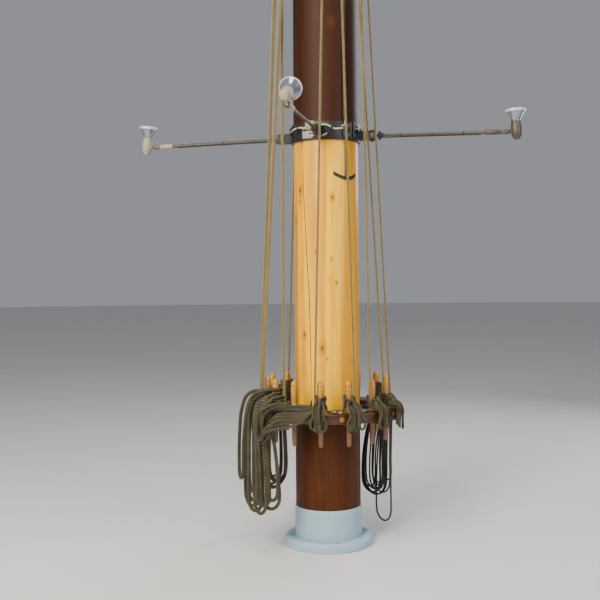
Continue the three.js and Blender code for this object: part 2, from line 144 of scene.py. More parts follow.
class Graph:
    """A material's node graph round one Principled shader."""

    def __init__(self, name: str) -> None:
        """Starts a material of that name."""
        self.material = bpy.data.materials.new(name)
        self.material.use_nodes = True
        self.tree = self.material.node_tree
        self.shader = self.tree.nodes["Principled BSDF"]

    def node(
        self, kind: str, settings: dict | None = None, inputs: dict | None = None, output: int | str = 0
    ) -> Value:
        """Adds a node.

        Args:
            kind: the node's type.
            settings: its own properties, set first; "stops" gives a ramp's rows of position and colour.
            inputs: values or links, by the socket's name or number.
            output: the socket to return.

        Returns:
            That output.
        """
        made = self.tree.nodes.new(kind)
        for key, value in (settings or {}).items():
            if key == "stops":
                self.set_ramp(made.color_ramp, value)
            else:
                setattr(made, key, value)
        for key, value in (inputs or {}).items():
            self.feed(made.inputs[key], value)
        return Value(self, made.outputs[output])

    def set_ramp(self, ramp: bpy.types.ColorRamp, stops: Sequence[tuple]) -> None:
        """Gives a colour ramp its stops.

        Args:
            ramp: the ramp.
            stops: rows of position and colour.
        """
        while len(ramp.elements) < len(stops):
            ramp.elements.new(1.0)
        for element, (position, shade) in zip(ramp.elements, stops):
            element.position = position
            element.color = shade

    def feed(self, socket: bpy.types.NodeSocket, value: "Value | float | tuple") -> None:
        """Links a value to a socket, or sets the socket's own number or colour.

        Args:
            socket: what is fed.
            value: a value of the graph, a number or a colour.
        """
        if isinstance(value, Value):
            self.tree.links.new(value.socket, socket)
        else:
            socket.default_value = value

    def place(self) -> Value:
        """The point's own coordinates."""
        return self.node("ShaderNodeTexCoord", output="Object")

    def scaled(self, where: Value, scale: tuple) -> Value:
        """Stretches coordinates by a factor along each axis."""
        return self.node("ShaderNodeMapping", None, {"Vector": where, "Scale": scale})

    def split(self, where: Value) -> list[Value]:
        """The X, Y and Z of coordinates."""
        made = self.node("ShaderNodeSeparateXYZ", None, {0: where}).socket.node
        return [Value(self, socket) for socket in made.outputs]

    def noise(self, where: Value, scale: float, detail: float, rough: float, squeeze: float = 1.0) -> Value:
        """Cloudy noise from 0 to 1.

        Args:
            where: the coordinates.
            scale: how fine it is.
            detail: how many finer layers it has.
            rough: how strong those are.
            squeeze: the factor on heights, small for fibres.

        Returns:
            The noise.
        """
        if squeeze != 1.0:
            where = self.scaled(where, (1.0, 1.0, squeeze))
        inputs = {"Vector": where, "Scale": scale, "Detail": detail, "Roughness": rough}
        return self.node("ShaderNodeTexNoise", None, inputs)

    def mix(self, factor: "Value | float", first: "Value | tuple", second: "Value | tuple") -> Value:
        """Mixes two colours: a factor of 0 gives the first and 1 the second."""
        return self.node("ShaderNodeMix", {"data_type": "RGBA"}, {0: factor, 6: first, 7: second}, output=2)

    def ramp(self, factor: Value, stops: Sequence[tuple]) -> Value:
        """Looks a factor up in a ramp of colours."""
        return self.node("ShaderNodeValToRGB", {"stops": stops}, {0: factor})

    def bump(self, height: Value, distance: float, strength: float) -> Value:
        """Turns a height from 0 to 1 into a normal; the distance is the real height of 1."""
        inputs = {"Height": height, "Distance": distance, "Strength": strength}
        return self.node("ShaderNodeBump", None, inputs)

    def surface(self, **sockets: "Value | float | tuple") -> None:
        """Feeds the shader's sockets, named with _ for a space."""
        for key, value in sockets.items():
            self.feed(self.shader.inputs[key.replace("_", " ").title().replace("Ior", "IOR")], value)


@dataclass(frozen=True)
class Finish:
    """A surface finish under a name. Each kind paints its own graph."""

    name: str

    def paint(self, graph: Graph) -> None:
        """Builds the finish's nodes."""
        raise NotImplementedError

    def material(self) -> bpy.types.Material:
        """The finish's material, made once."""
        known = bpy.data.materials.get(self.name)
        if known is not None:
            return known
        graph = Graph(self.name)
        self.paint(graph)
        return graph.material


@dataclass(frozen=True)
class SparVarnish(Finish):
    """Glossy amber varnish on a pine spar: broad soft bands, fine fibres, small knots, and darker ends.

    Between the rail and the lamp band it is amber, with ochre bands and brown grain: the sunlit wood.
    Elsewhere it is red, and its grain deep: painted shade for the shadows below the rail and above the band,
    darkened further above the band. The soft bands are partly the wood's own tone and partly painted
    reflections. The knots are rows of angle, height and radius.
    """

    amber: str = "ffbf0a"
    ochre: str = "cc860a"
    brown: str = "b06c0c"
    red: str = "4a2304"
    deep: str = "220e03"
    knot: str = "54240c"
    knots: tuple = (
        (-53.9, 2.262, 0.01), (-55.1, 2.193, 0.005), (-69.6, 2.076, 0.007), (8.9, 2.213, 0.009),
        (-20.1, 1.875, 0.006), (6.7, 1.828, 0.005), (15.1, 1.681, 0.005), (-44.5, 1.354, 0.009),
        (-10.4, 1.273, 0.012), (-1.6, 1.205, 0.004), (50, 1.183, 0.008), (-16, 0.391, 0.014),
        (49.8, 0.358, 0.009), (-77.4, 0.53, 0.005), (120, 1.6, 0.011), (200, 2.9, 0.013), (255, 0.55, 0.012),
        (10, 3.3, 0.012), (95, 4.1, 0.014), (300, 4.8, 0.013),
    )

    def paint(self, graph: Graph) -> None:
        """Builds the spar's wood under its varnish."""
        where = graph.place()
        height = graph.split(where)[2]
        lines = (graph.noise(where, 5.0, 2.0, 0.5, 0.1) * 62.0).math("SINE") * 0.5 + 0.5
        fibre = graph.noise(where, 150.0, 4.0, 0.7, 0.018)
        streak = graph.noise(where, 34.0, 3.0, 0.6, 0.03)
        # Broad soft vertical bands: partly the wood's own tone, partly painted reflections on the varnish.
        bands = graph.noise(where, 9.0, 2.0, 0.45, 0.035).above(0.41, 0.6)
        grain = (lines ** 2.2) * 0.2 + fibre * 0.4 + streak * 0.4
        pale = graph.mix(bands * 0.75, colour(self.amber), colour(self.ochre))
        golden = graph.mix(grain.above(0.42, 0.85) * 0.62, pale, colour(self.brown))
        # Painted shade: the red wood stands for the shadowed parts below the rail and above the lamp band.
        shaded_tone = graph.mix(bands * 0.45, colour(self.red), colour(self.red, 0.55))
        shaded_wood = graph.mix(grain.above(0.4, 0.85) * 0.6, shaded_tone, colour(self.deep))
        # lit is the painted sunlit zone between the rail and the lamp band; outside it the wood takes painted
        # shade and less gloss.
        lit = height.above(0.8, 0.9) * (1.0 - height.above(2.6, 2.68))
        wood = graph.mix(lit, shaded_wood, golden)
        # More painted shade: the wood above the lamp band is darkened further.
        wood = graph.mix(height.above(2.66, 2.72) * 0.6, wood, colour(self.deep))
        shade = graph.mix(lit, colour(self.red, 1.3), colour(self.brown, 0.55))
        long = 0.55
        squashed = graph.scaled(where, (1.0, 1.0, long))
        for degrees, z, radius in self.knots:
            centre = Station(degrees).at(0.0, spar_radius(z), z)
            ends = {0: squashed, 1: (centre.x, centre.y, centre.z * long)}
            away = graph.node("ShaderNodeVectorMath", {"operation": "DISTANCE"}, ends, output="Value")
            ragged = away + (streak - 0.5) * (radius * 0.9)
            halo = 1.0 - ragged.above(radius * 0.6, radius * 3.4)
            core = 1.0 - ragged.above(radius * 0.25, radius * 0.95)
            wood = graph.mix(halo * 0.5, wood, shade)
            wood = graph.mix(core * 0.92, wood, colour(self.knot))
        wear = graph.noise(where, 26.0, 4.0, 0.7)
        graph.surface(
            base_color=wood,
            roughness=0.46 - lit * 0.18 + wear * 0.14 + fibre * 0.06,
            coat_weight=lit * 0.14 - wear.above(0.5, 0.8) * 0.05,
            coat_roughness=0.06,
            specular_ior_level=0.2,
            normal=graph.bump(fibre * 0.6 + lines * 0.25 + wear * 0.4, 0.0006, 0.5),
        )


@dataclass(frozen=True)
class Timber(Finish):
    """A sawn or turned timber: light wood with dark grain lines under a coat of varnish.

    The fineness is the scale of the noise that the grain lines follow. The wear says how strongly spots are
    rubbed pale, and the shade how strongly painted shade darkens it below the pin rail, both from 0 to 1.
    """

    light: str
    dark: str
    grain: Grain
    fineness: float = 9.0
    roughness: float = 0.35
    coat: float = 0.5
    wear: float = 0.2
    shade: float = 0.0

    def along(self, graph: Graph) -> Value:
        """Coordinates that are squeezed along the grain."""
        if self.grain is not Grain.ROUND:
            return graph.scaled(graph.place(), self.grain.value)
        across, along, up = graph.split(graph.place())
        turn = across.math("ARCTAN2", along) * (0.4 * 0.12)
        out = (across * across + along * along).math("SQRT")
        return graph.node("ShaderNodeCombineXYZ", None, {0: turn, 1: out, 2: up})

    def paint(self, graph: Graph) -> None:
        """Builds the timber's nodes."""
        along = self.along(graph)
        flame = graph.noise(along, self.fineness, 2.0, 0.5)
        lines = (flame * 70.0).math("SINE") * 0.5 + 0.5
        fibre = graph.noise(along, 240.0, 4.0, 0.7)
        grain = lines * 0.42 + fibre * 0.45 + flame * 0.25
        stops = [(0.2, colour(self.light)), (0.6, colour(self.light, 0.72)), (1.0, colour(self.dark))]
        wood = graph.ramp(grain, stops)
        blotch = graph.noise(graph.place(), 14.0, 4.0, 0.65)
        wood = graph.mix(blotch.above(0.42, 0.8) * 0.4, wood, colour(self.dark, 0.8))
        # Painted shade: the wood is darkened below the pin rail, where the rail's shadow falls.
        if self.shade:
            low = 1.0 - graph.split(graph.place())[2].above(0.78, 0.86)
            wood = graph.mix(low * self.shade, wood, colour(self.dark, 0.7))
        rubbed = graph.noise(graph.place(), 34.0, 5.0, 0.7).above(0.58, 0.78) * self.wear
        wood = graph.mix(rubbed, wood, colour(self.light, 1.5))
        graph.surface(
            base_color=wood,
            roughness=self.roughness + blotch * 0.14 + rubbed * 0.2,
            coat_weight=self.coat * (1.0 - rubbed),
            coat_roughness=0.12,
            normal=graph.bump(fibre * 0.7 + lines * 0.3, 0.0007, 0.6),
        )


@dataclass(frozen=True)
class Painted(Finish):
    """Paint or enamel on metal, worn to another colour in spots.

    The metallic value is the spots'. The wear, from 0 to 1, says how strong they are, and the orange peel is
    the bump's real height in metres.
    """

    paint_colour: str
    worn: str
    roughness: float = 0.45
    metallic: float = 0.0
    wear: float = 0.3
    orange_peel: float = 0.0005

    def paint(self, graph: Graph) -> None:
        """Builds the paint's nodes."""
        where = graph.place()
        cloudy = graph.noise(where, 18.0, 5.0, 0.65)
        grit = graph.noise(where, 210.0, 3.0, 0.6)
        rubbed = cloudy.above(0.56, 0.72) * self.wear
        streaks = graph.noise(where, 46.0, 3.0, 0.6, 0.12)
        base = graph.mix(streaks * 0.3, colour(self.paint_colour), colour(self.paint_colour, 0.6))
        graph.surface(
            base_color=graph.mix(rubbed, base, colour(self.worn)),
            roughness=self.roughness + cloudy * 0.16 - 0.08 + grit * 0.08,
            metallic=rubbed * self.metallic,
            normal=graph.bump(grit * 0.5 + cloudy, self.orange_peel, 0.6),
        )


@dataclass(frozen=True)
class Hemp(Finish):
    """Laid hemp: strands with painted highlights on their crowns and painted shade in their grooves, fine
    yarns, and grime from 0 to 1.
    """

    pale: str
    dark: str
    grime: float

    def paint(self, graph: Graph) -> None:
        """Builds the rope's nodes on its own unwrapped length."""
        strands, yarns, lean = 4, 16.0, 8.0
        round_it, along, _ = graph.split(graph.node("ShaderNodeUVMap", {"uv_map": "UVMap"}))
        crown = (round_it * (strands * tau)).math("COSINE") * 0.5 + 0.5
        yarn = ((round_it * yarns - along * lean) * tau).math("SINE") * 0.5 + 0.5
        fuzz = graph.noise(graph.place(), 900.0, 2.0, 0.7)
        soil = graph.noise(graph.place(), 16.0, 4.0, 0.65)
        # Painted light: the crowns are lightened as a highlight and the grooves darkened as painted shade.
        tone = crown * 0.72 + yarn * 0.12 + fuzz * 0.22
        stops = [(0.34, colour(self.dark)), (0.62, colour(self.pale, 0.45)), (0.94, colour(self.pale, 1.35))]
        grimy = soil.above(0.38, 0.7) * self.grime
        graph.surface(
            base_color=graph.mix(grimy, graph.ramp(tone, stops), colour(self.dark, 1.2)),
            roughness=0.94 - crown * 0.12,
            specular_ior_level=0.25,
            normal=graph.bump(crown * 0.8 + yarn * 0.2 + fuzz * 0.3, 0.0016, 0.9),
        )


@dataclass(frozen=True)
class LampGlass(Finish):
    """Pressed glass with a tint, silvered on the inside: the silver says how metallic it looks."""

    tint: str
    silver: float

    def paint(self, graph: Graph) -> None:
        """Builds the glass's nodes."""
        mottled = graph.noise(graph.place(), 70.0, 3.0, 0.6)
        graph.surface(
            base_color=graph.mix(mottled, colour(self.tint), colour(self.tint, 0.72)),
            metallic=self.silver,
            roughness=0.12 + mottled * 0.12,
            coat_weight=1.0,
            coat_roughness=0.03,
            normal=graph.bump(mottled, 0.0008, 0.5),
        )


@dataclass(frozen=True)
class StudioFloor(Finish):
    """A plain pale floor."""

    def paint(self, graph: Graph) -> None:
        """Builds a faintly mottled pale grey."""
        mottled = graph.noise(graph.place(), 1.5, 3.0, 0.5)
        tone = graph.mix(mottled, colour("dcdcda"), colour("d2d3d2"))
        graph.surface(base_color=tone, roughness=0.72 + mottled * 0.08)


AMBER = SparVarnish("spar_varnish")
CHECK = Timber("open_check", "8a5212", "3a1c06", Grain.UPRIGHT, coat=0.0, roughness=0.8, wear=0.0)
OAK_RAIL = Timber("rail_varnish", "4c2608", "1f0f04", Grain.ROUND, 11.0, 0.34, 0.2, 0.16)
BUNG = Timber("bung_varnish", "b0681a", "6a3408", Grain.UPRIGHT, 30.0, 0.4, 0.2, 0.2)
# The pins take painted shade below the rail.
PIN_WOOD = Timber("pin_varnish", "cf8c1c", "72400a", Grain.UPRIGHT, 20.0, 0.24, 0.5, 0.12, 0.9)
TOP_WOOD = Timber("top_timber", "9a7446", "4c3219", Grain.LENGTHWISE, 9.0, 0.5, 0.2, 0.4)
BEAM_WOOD = Timber("beam_timber", "8d6234", "42280f", Grain.ATHWART, 9.0, 0.45, 0.3, 0.3)
CHEEK_WOOD = Timber("cheek_timber", "8f5f30", "45270e", Grain.UPRIGHT, 9.0, 0.4, 0.4, 0.3)
BLOCK_WOOD = Timber("block_timber", "7c4d26", "38200f", Grain.UPRIGHT, 24.0, 0.45, 0.3, 0.5)
IRON = Painted("black_iron_paint", "1b1c1f", "55504a", 0.42, 0.6, 0.25)
BOLT = Painted("bolt_iron", "4a4a4b", "8a8378", 0.38, 0.8, 0.5)
BOOT = Painted("pale_boot_paint", "9db9c8", "7f959f", 0.5, 0.0, 0.5, 0.0009)
CREAM = Painted("lamp_cream", "9a9176", "5f5843", 0.42, 0.0, 0.45)
ARM_METAL = Painted("aged_arm_metal", "463d33", "7d6e58", 0.4, 0.5, 0.4)
CABLE = Painted("cream_sheath", "cdbf98", "8c8160", 0.55, 0.0, 0.4)
BLACK_CABLE = Painted("black_cable_sheath", "151517", "2c2c2e", 0.6, 0.0, 0.3)
ZINC = Painted("zinc_plate", "8d8f86", "b9b8ac", 0.42, 0.7, 0.5)
BRONZE = Painted("tarnished_bronze", "8a6a34", "c29a55", 0.36, 1.0, 0.6)
SILVER = LampGlass("silvered_glass", "9aa1ae", 0.75)
LENS = LampGlass("lens_glass", "cdd4de", 0.2)
TAN_HEMP = Hemp("tan_hemp", "b8a26c", "1c140a", 0.2)
# Painted shade: the tan hemp of the falls, made darker and greyer for the hanks under the rail, with more
# grime.
SHADED_HEMP = Hemp("shaded_tan_hemp", "736a53", "080604", 0.4)
DARK_HEMP = Hemp("dark_hemp", "70685a", "080705", 0.4)
TWINE = Hemp("whipping_twine", "cdbf9c", "5a4e3a", 0.3)


@dataclass(frozen=True)
class Station:
    """A place at an angle round the mast. Its points are given as right, outwards and up."""

    degrees: float

    def turn(self) -> float:
        """The angle about the mast in the ship's axes, in radians."""
        return radians(self.degrees + AFT_TURN)

    def at(self, right: float, out: float, up: float) -> Vector:
        """A point of the station in the ship's axes."""
        cosine, sine = cos(self.turn()), sin(self.turn())
        return Vector((right * cosine + out * sine, right * sine - out * cosine, up))

    def line(self, rows: Sequence[tuple]) -> list[Vector]:
        """Points of the station in the ship's axes."""
        return [self.at(*row) for row in rows]

    def matrix(self) -> Matrix:
        """Turns a shape made on the -Y side to this station."""
        return Matrix.Rotation(self.turn(), 4, "Z")

    def box(self, low: tuple, high: tuple, rounded: float, segments: int = 2) -> "Shape":
        """A box between two corners, which are given on the -Y side, with its edges rounded."""
        return Shape.box(low, high).bevel(rounded, segments).moved(self.matrix())

    def bar(self, radius: float, start: tuple, end: tuple, sides: int, tip: float | None = None) -> "Shape":
        """A round bar or cone between two points of the station."""
        return Shape.bar(radius, self.at(*start), self.at(*end), sides, tip)

    def cable(self, rows: Sequence[tuple], radius: float, step: float = 0.004, sides: int = 12) -> "Shape":
        """A smooth round cable through points of the station."""
        return cable(curved(self.line(rows), step), radius, sides)


def around(rows: Sequence[tuple]) -> list[Vector]:
    """Points in the ship's axes, from rows of angle, distance out and height."""
    return [Station(degrees).at(0.0, out, up) for degrees, out, up in rows]


def spar_radius(z: float) -> float:
    """The spar's radius at a height, from its taper's rows of height and radius."""
    taper = ((0.0, 0.21), (2.7, 0.2075), (4.5, 0.199), (6.0, 0.186), (7.2, 0.17))
    for (low, wide), (high, slim) in zip(taper, taper[1:]):
        if z <= high:
            return wide + (slim - wide) * (z - low) / (high - low)
    return taper[-1][1]


def evenly(points: list[Vector], step: float) -> list[Vector]:
    """Walks a line in equal steps.

    Args:
        points: the line.
        step: about how far apart the new points are.

    Returns:
        The new points.
    """
    reach = [0.0]
    for start, end in zip(points, points[1:]):
        reach.append(reach[-1] + (end - start).length)
    count = max(2, round(reach[-1] / step))
    walked, leg = [], 0
    for index in range(count + 1):
        goal = reach[-1] * index / count
        while leg < len(reach) - 2 and reach[leg + 1] < goal:
            leg += 1
        span = max(reach[leg + 1] - reach[leg], 1e-9)
        walked.append(points[leg].lerp(points[leg + 1], (goal - reach[leg]) / span))
    return walked


def curved(points: list[Vector], step: float) -> list[Vector]:
    """Draws a centripetal spline.

    Args:
        points: what it passes through.
        step: about how far apart its own points are.

    Returns:
        Its points.
    """
    ends = [points[0] * 2 - points[1], *points, points[-1] * 2 - points[-2]]
    fine = [points[0].copy()]
    for a, b, c, d in zip(ends, ends[1:], ends[2:], ends[3:]):
        ta = 0.0
        tb, tc, td = (max((end - start).length, 1e-6) ** 0.5 for start, end in ((a, b), (b, c), (c, d)))
        tc += tb
        td += tc
        pieces = max(2, ceil((c - b).length / step))
        for index in range(1, pieces + 1):
            t = tb + (tc - tb) * index / pieces
            ab = a.lerp(b, (t - ta) / (tb - ta))
            bc = b.lerp(c, (t - tb) / (tc - tb))
            cd = c.lerp(d, (t - tc) / (td - tc))
            before, after = ab.lerp(bc, (t - ta) / (tc - ta)), bc.lerp(cd, (t - tb) / (td - tb))
            fine.append(before.lerp(after, (t - tb) / (tc - tb)))
    return evenly(fine, step)


def length_of(line: list[Vector]) -> float:
    """A line's length."""
    return sum((end - start).length for start, end in zip(line, line[1:]))


def fillet(outline: Sequence[tuple], radius: float, steps: int = 3) -> list[tuple]:
    """Rounds the corners of a closed flat outline.

    Args:
        outline: the corners.
        radius: how far each is cut back.
        steps: the pieces of a round.

    Returns:
        The rounded outline.
    """
    rounded = []
    for index, corner in enumerate(outline):
        here = Vector(corner)
        before = Vector(outline[index - 1]) - here
        after = Vector(outline[(index + 1) % len(outline)]) - here
        back = min(radius, before.length * 0.45, after.length * 0.45)
        start, end = here + before.normalized() * back, here + after.normalized() * back
        for step in range(steps + 1):
            t = step / steps
            rounded.append((start * (1 - t) ** 2 + here * 2 * t * (1 - t) + end * t * t)[:])
    return rounded


class Shape:
    """A closed form being made with mesh operators."""

    def __init__(self) -> None:
        """Starts empty, with an unwrap for the finishes that need one."""
        self.bm = bmesh.new()
        self.bm.loops.layers.uv.new("UVMap")

    @staticmethod
    def lathe(profile: Sequence[tuple], steps: int = 48, closed: bool = False) -> "Shape":
        """Spins a profile about the upright axis.

        Args:
            profile: rows of radius and height.
            steps: faces round the axis.
            closed: whether the profile's end joins its start.

        Returns:
            The turned form.
        """
        shape = Shape()
        verts = [shape.bm.verts.new((radius, 0.0, height)) for radius, height in profile]
        followers = verts[1:] + verts[:1] if closed else verts[1:]
        edges = [shape.bm.edges.new(pair) for pair in zip(verts, followers)]
        bmesh.ops.spin(
            shape.bm, geom=verts + edges, cent=(0, 0, 0), axis=(0, 0, 1), dvec=(0, 0, 0), angle=tau,
            steps=steps, use_merge=True, use_duplicate=False,
        )
        return shape.merged(1e-6).outward()

    @staticmethod
    def box(low: tuple, high: tuple) -> "Shape":
        """A box between two corners."""
        shape = Shape()
        first, last = Vector(low), Vector(high)
        sizes = Matrix.Diagonal((*(last - first), 1.0))
        bmesh.ops.create_cube(shape.bm, size=1.0, matrix=Matrix.Translation((first + last) / 2) @ sizes)
        return shape

    @staticmethod
    def bar(radius: float, start: Vector, end: Vector, sides: int = 20, tip: float | None = None) -> "Shape":
        """A round bar or cone from one point to another.

        Args:
            radius: at its start.
            start: the centre there.
            end: the centre at its end.
            sides: faces round it.
            tip: the radius at its end, where it differs.

        Returns:
            The bar.
        """
        shape = Shape()
        turn = (end - start).to_track_quat("Z", "Y").to_matrix().to_4x4()
        bmesh.ops.create_cone(
            shape.bm, cap_ends=True, cap_tris=False, segments=sides, radius1=radius,
            radius2=radius if tip is None else tip, depth=(end - start).length,
            matrix=Matrix.Translation((start + end) / 2) @ turn,
        )
        return shape

    @staticmethod
    def slab(outline: Sequence[tuple], low: float, high: float) -> "Shape":
        """A flat outline pushed up from one height to another."""
        shape = Shape()
        verts = [shape.bm.verts.new((x, y, low)) for x, y in outline]
        made = bmesh.ops.extrude_face_region(shape.bm, geom=[shape.bm.faces.new(verts)])
        raised = [item for item in made["geom"] if isinstance(item, bmesh.types.BMVert)]
        bmesh.ops.translate(shape.bm, verts=raised, vec=(0, 0, high - low))
        return shape.outward()

    @staticmethod
    def node(name: str) -> "Shape":
        """A merged copy of a solid of the frame."""
        shape = Shape()
        shape.bm.from_mesh(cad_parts[name].data)
        shape.merged(2e-5)
        flat = radians(0.6)
        bmesh.ops.dissolve_limit(shape.bm, angle_limit=flat, verts=shape.bm.verts[:], edges=shape.bm.edges[:])
        return shape

    def merged(self, distance: float) -> "Shape":
        """Merges the points that lie closer than a distance."""
        bmesh.ops.remove_doubles(self.bm, verts=self.bm.verts[:], dist=distance)
        return self

    def outward(self) -> "Shape":
        """Turns every face outwards."""
        bmesh.ops.recalc_face_normals(self.bm, faces=self.bm.faces[:])
        return self

    def bevel(self, width: float, segments: int = 2, angle: float = 32.0) -> "Shape":
        """Rounds the edges that are sharper than an angle.

        Args:
            width: how far a round reaches.
            segments: its pieces.
            angle: in degrees.

        Returns:
            The same shape.
        """
        limit = radians(angle)
        sharp = [edge for edge in self.bm.edges if edge.is_manifold and edge.calc_face_angle(0.0) > limit]
        bmesh.ops.bevel(
            self.bm, geom=sharp, offset=width, offset_type="OFFSET", affect="EDGES", segments=segments,
            profile=0.5, material=-1, clamp_overlap=True,
        )
        return self

    def moved(self, matrix: Matrix) -> "Shape":
        """Moves the whole shape."""
        bmesh.ops.transform(self.bm, matrix=matrix, verts=self.bm.verts[:])
        return self

    def with_(self, *others: "Shape") -> "Shape":
        """Takes other shapes in beside this one."""
        for other in others:
            mesh = bpy.data.meshes.new("taken_in")
            other.bm.to_mesh(mesh)
            self.bm.from_mesh(mesh)
            bpy.data.meshes.remove(mesh)
        return self

    def thing(self, name: str) -> bpy.types.Object:
        """A scene object of the shape."""
        mesh = bpy.data.meshes.new(name)
        self.bm.to_mesh(mesh)
        return placed(bpy.data.objects.new(name, mesh))

    def cut(self, tool: "Shape") -> "Shape":
        """Cuts another shape away.

        Args:
            tool: closed forms.

        Returns:
            The same shape, cut.
        """
        body, cutter = self.thing("body"), tool.thing("cutter")
        modifier = body.modifiers.new("cut", "BOOLEAN")
        modifier.object, modifier.operation, modifier.solver = cutter, "DIFFERENCE", "EXACT"
        done = body.evaluated_get(bpy.context.evaluated_depsgraph_get())
        self.bm.clear()
        self.bm.from_mesh(done.to_mesh())
        done.to_mesh_clear()
        for used in (body, cutter):
            bpy.data.meshes.remove(used.data)
        return self


def placed(made: bpy.types.Object) -> bpy.types.Object:
    """Puts an object into the scene."""
    bpy.context.scene.collection.objects.link(made)
    return made


def sweep(line: list[Vector], radii: Sequence[float], turns: float = 0.0, blunt: float = 0.55) -> Shape:
    """Pulls a section along a line, turning it as it goes, and closes both ends.

    Args:
        line: the section's centres.
        radii: the radius at each of its points.
        turns: its turns from end to end.
        blunt: the end rings' share of the full size.

    Returns:
        The tube, unwrapped round its section and along its turns.
    """
    last, sides = len(line) - 1, len(radii)
    tangents = [(line[min(i + 1, last)] - line[max(i - 1, 0)]).normalized() for i in range(last + 1)]
    across = tangents[0].orthogonal().normalized()
    frames = []
    for tangent in tangents:
        across = (across - tangent * across.dot(tangent)).normalized()
        frames.append((across.copy(), tangent.cross(across)))
    shape = Shape()
    bmesh.ops.create_grid(shape.bm, x_segments=sides, y_segments=last, size=0.5, calc_uvs=True)
    for vert in shape.bm.verts:
        side = round((vert.co.x + 0.5) * sides) % sides
        ring = round((vert.co.y + 0.5) * last)
        angle = tau * side / sides + tau * turns * ring / last
        radius = radii[side] * (blunt if ring in (0, last) else 1.0)
        first, second = frames[ring]
        vert.co = line[ring] + first * (radius * cos(angle)) + second * (radius * sin(angle))
    unwrap = shape.bm.loops.layers.uv.active
    for face in shape.bm.faces:
        for loop in face.loops:
            loop[unwrap].uv.y *= max(turns, 1.0)
    shape.merged(1e-6)
    rims = [edge for edge in shape.bm.edges if edge.is_boundary]
    bmesh.ops.holes_fill(shape.bm, edges=rims, sides=0)
    return shape.outward()


def cable(line: list[Vector], radius: float, sides: int = 12) -> Shape:
    """A round cable along a line."""
    return sweep(line, [radius] * sides, blunt=0.7)


@dataclass(frozen=True)
class Rope:
    """Hard-laid rope.

    The lay is the length of one turn of its strands, in diameters. The rings are the sections of a turn, and
    the sides are a section's points, a multiple of the strands.
    """

    diameter: float
    finish: Finish
    sides: int = 12
    rings: int = 10
    lay: float = 3.2
    strands: int = 4

    def step(self) -> float:
        """How far apart its sections are."""
        return self.diameter * self.lay / self.rings

    def section(self) -> list[float]:
        """The section's radius at each of its points: round strands that touch."""
        outer = self.diameter / 2
        narrow = sin(pi / self.strands)
        offset = outer / (1 + narrow)
        radii = []
        for side in range(self.sides):
            share = (side * self.strands / self.sides) % 1.0
            angle = tau / self.strands * min(share, 1 - share)
            inside = max(0.0, (offset * narrow) ** 2 - (offset * sin(angle)) ** 2)
            radii.append(max(0.66 * outer, offset * cos(angle) + sqrt(inside)))
        return radii

    def along(self, line: list[Vector]) -> Shape:
        """Lays the rope along a line that has been walked in its own step."""
        return sweep(line, self.section(), length_of(line) / (self.diameter * self.lay))


class Piece:
    """A named piece of the model: closed shapes with their finishes."""

    def __init__(self, name: str, slot: str, body: str = "mast") -> None:
        """Names the piece, its slot of the record and the body that it rides on."""
        self.name = name
        self.slot = slot
        self.body = body
        self.parts: list[tuple[Shape, tuple[Finish, ...]]] = []

    def add(self, shape: Shape, *finishes: Finish) -> "Piece":
        """Adds a shape in a finish, or in several that its faces are numbered for."""
        self.parts.append((shape, finishes))
        return self

    def build(self, *nodes: str, smooth: float = 38.0) -> bpy.types.Object:
        """Makes the object.

        Args:
            nodes: the solids that it stands for.
            smooth: the angle below which edges are smooth.

        Returns:
            The object.
        """
        finishes = list(dict.fromkeys(finish for _, own in self.parts for finish in own))
        whole = Shape()
        for shape, own in self.parts:
            for face in shape.bm.faces:
                face.material_index = finishes.index(own[min(face.material_index, len(own) - 1)])
            whole.with_(shape)
            shape.bm.free()
        made = whole.thing(self.name)
        whole.bm.free()
        for finish in finishes:
            made.data.materials.append(finish.material())
        made.data.polygons.foreach_set("use_smooth", [True] * len(made.data.polygons))
        made.data.set_sharp_from_angle(angle=radians(smooth))
        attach(made, self.body)
        if nodes:
            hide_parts(*nodes)
        LOG.info("%s: %d faces on %s", self.name, len(made.data.polygons), self.body)
        return made


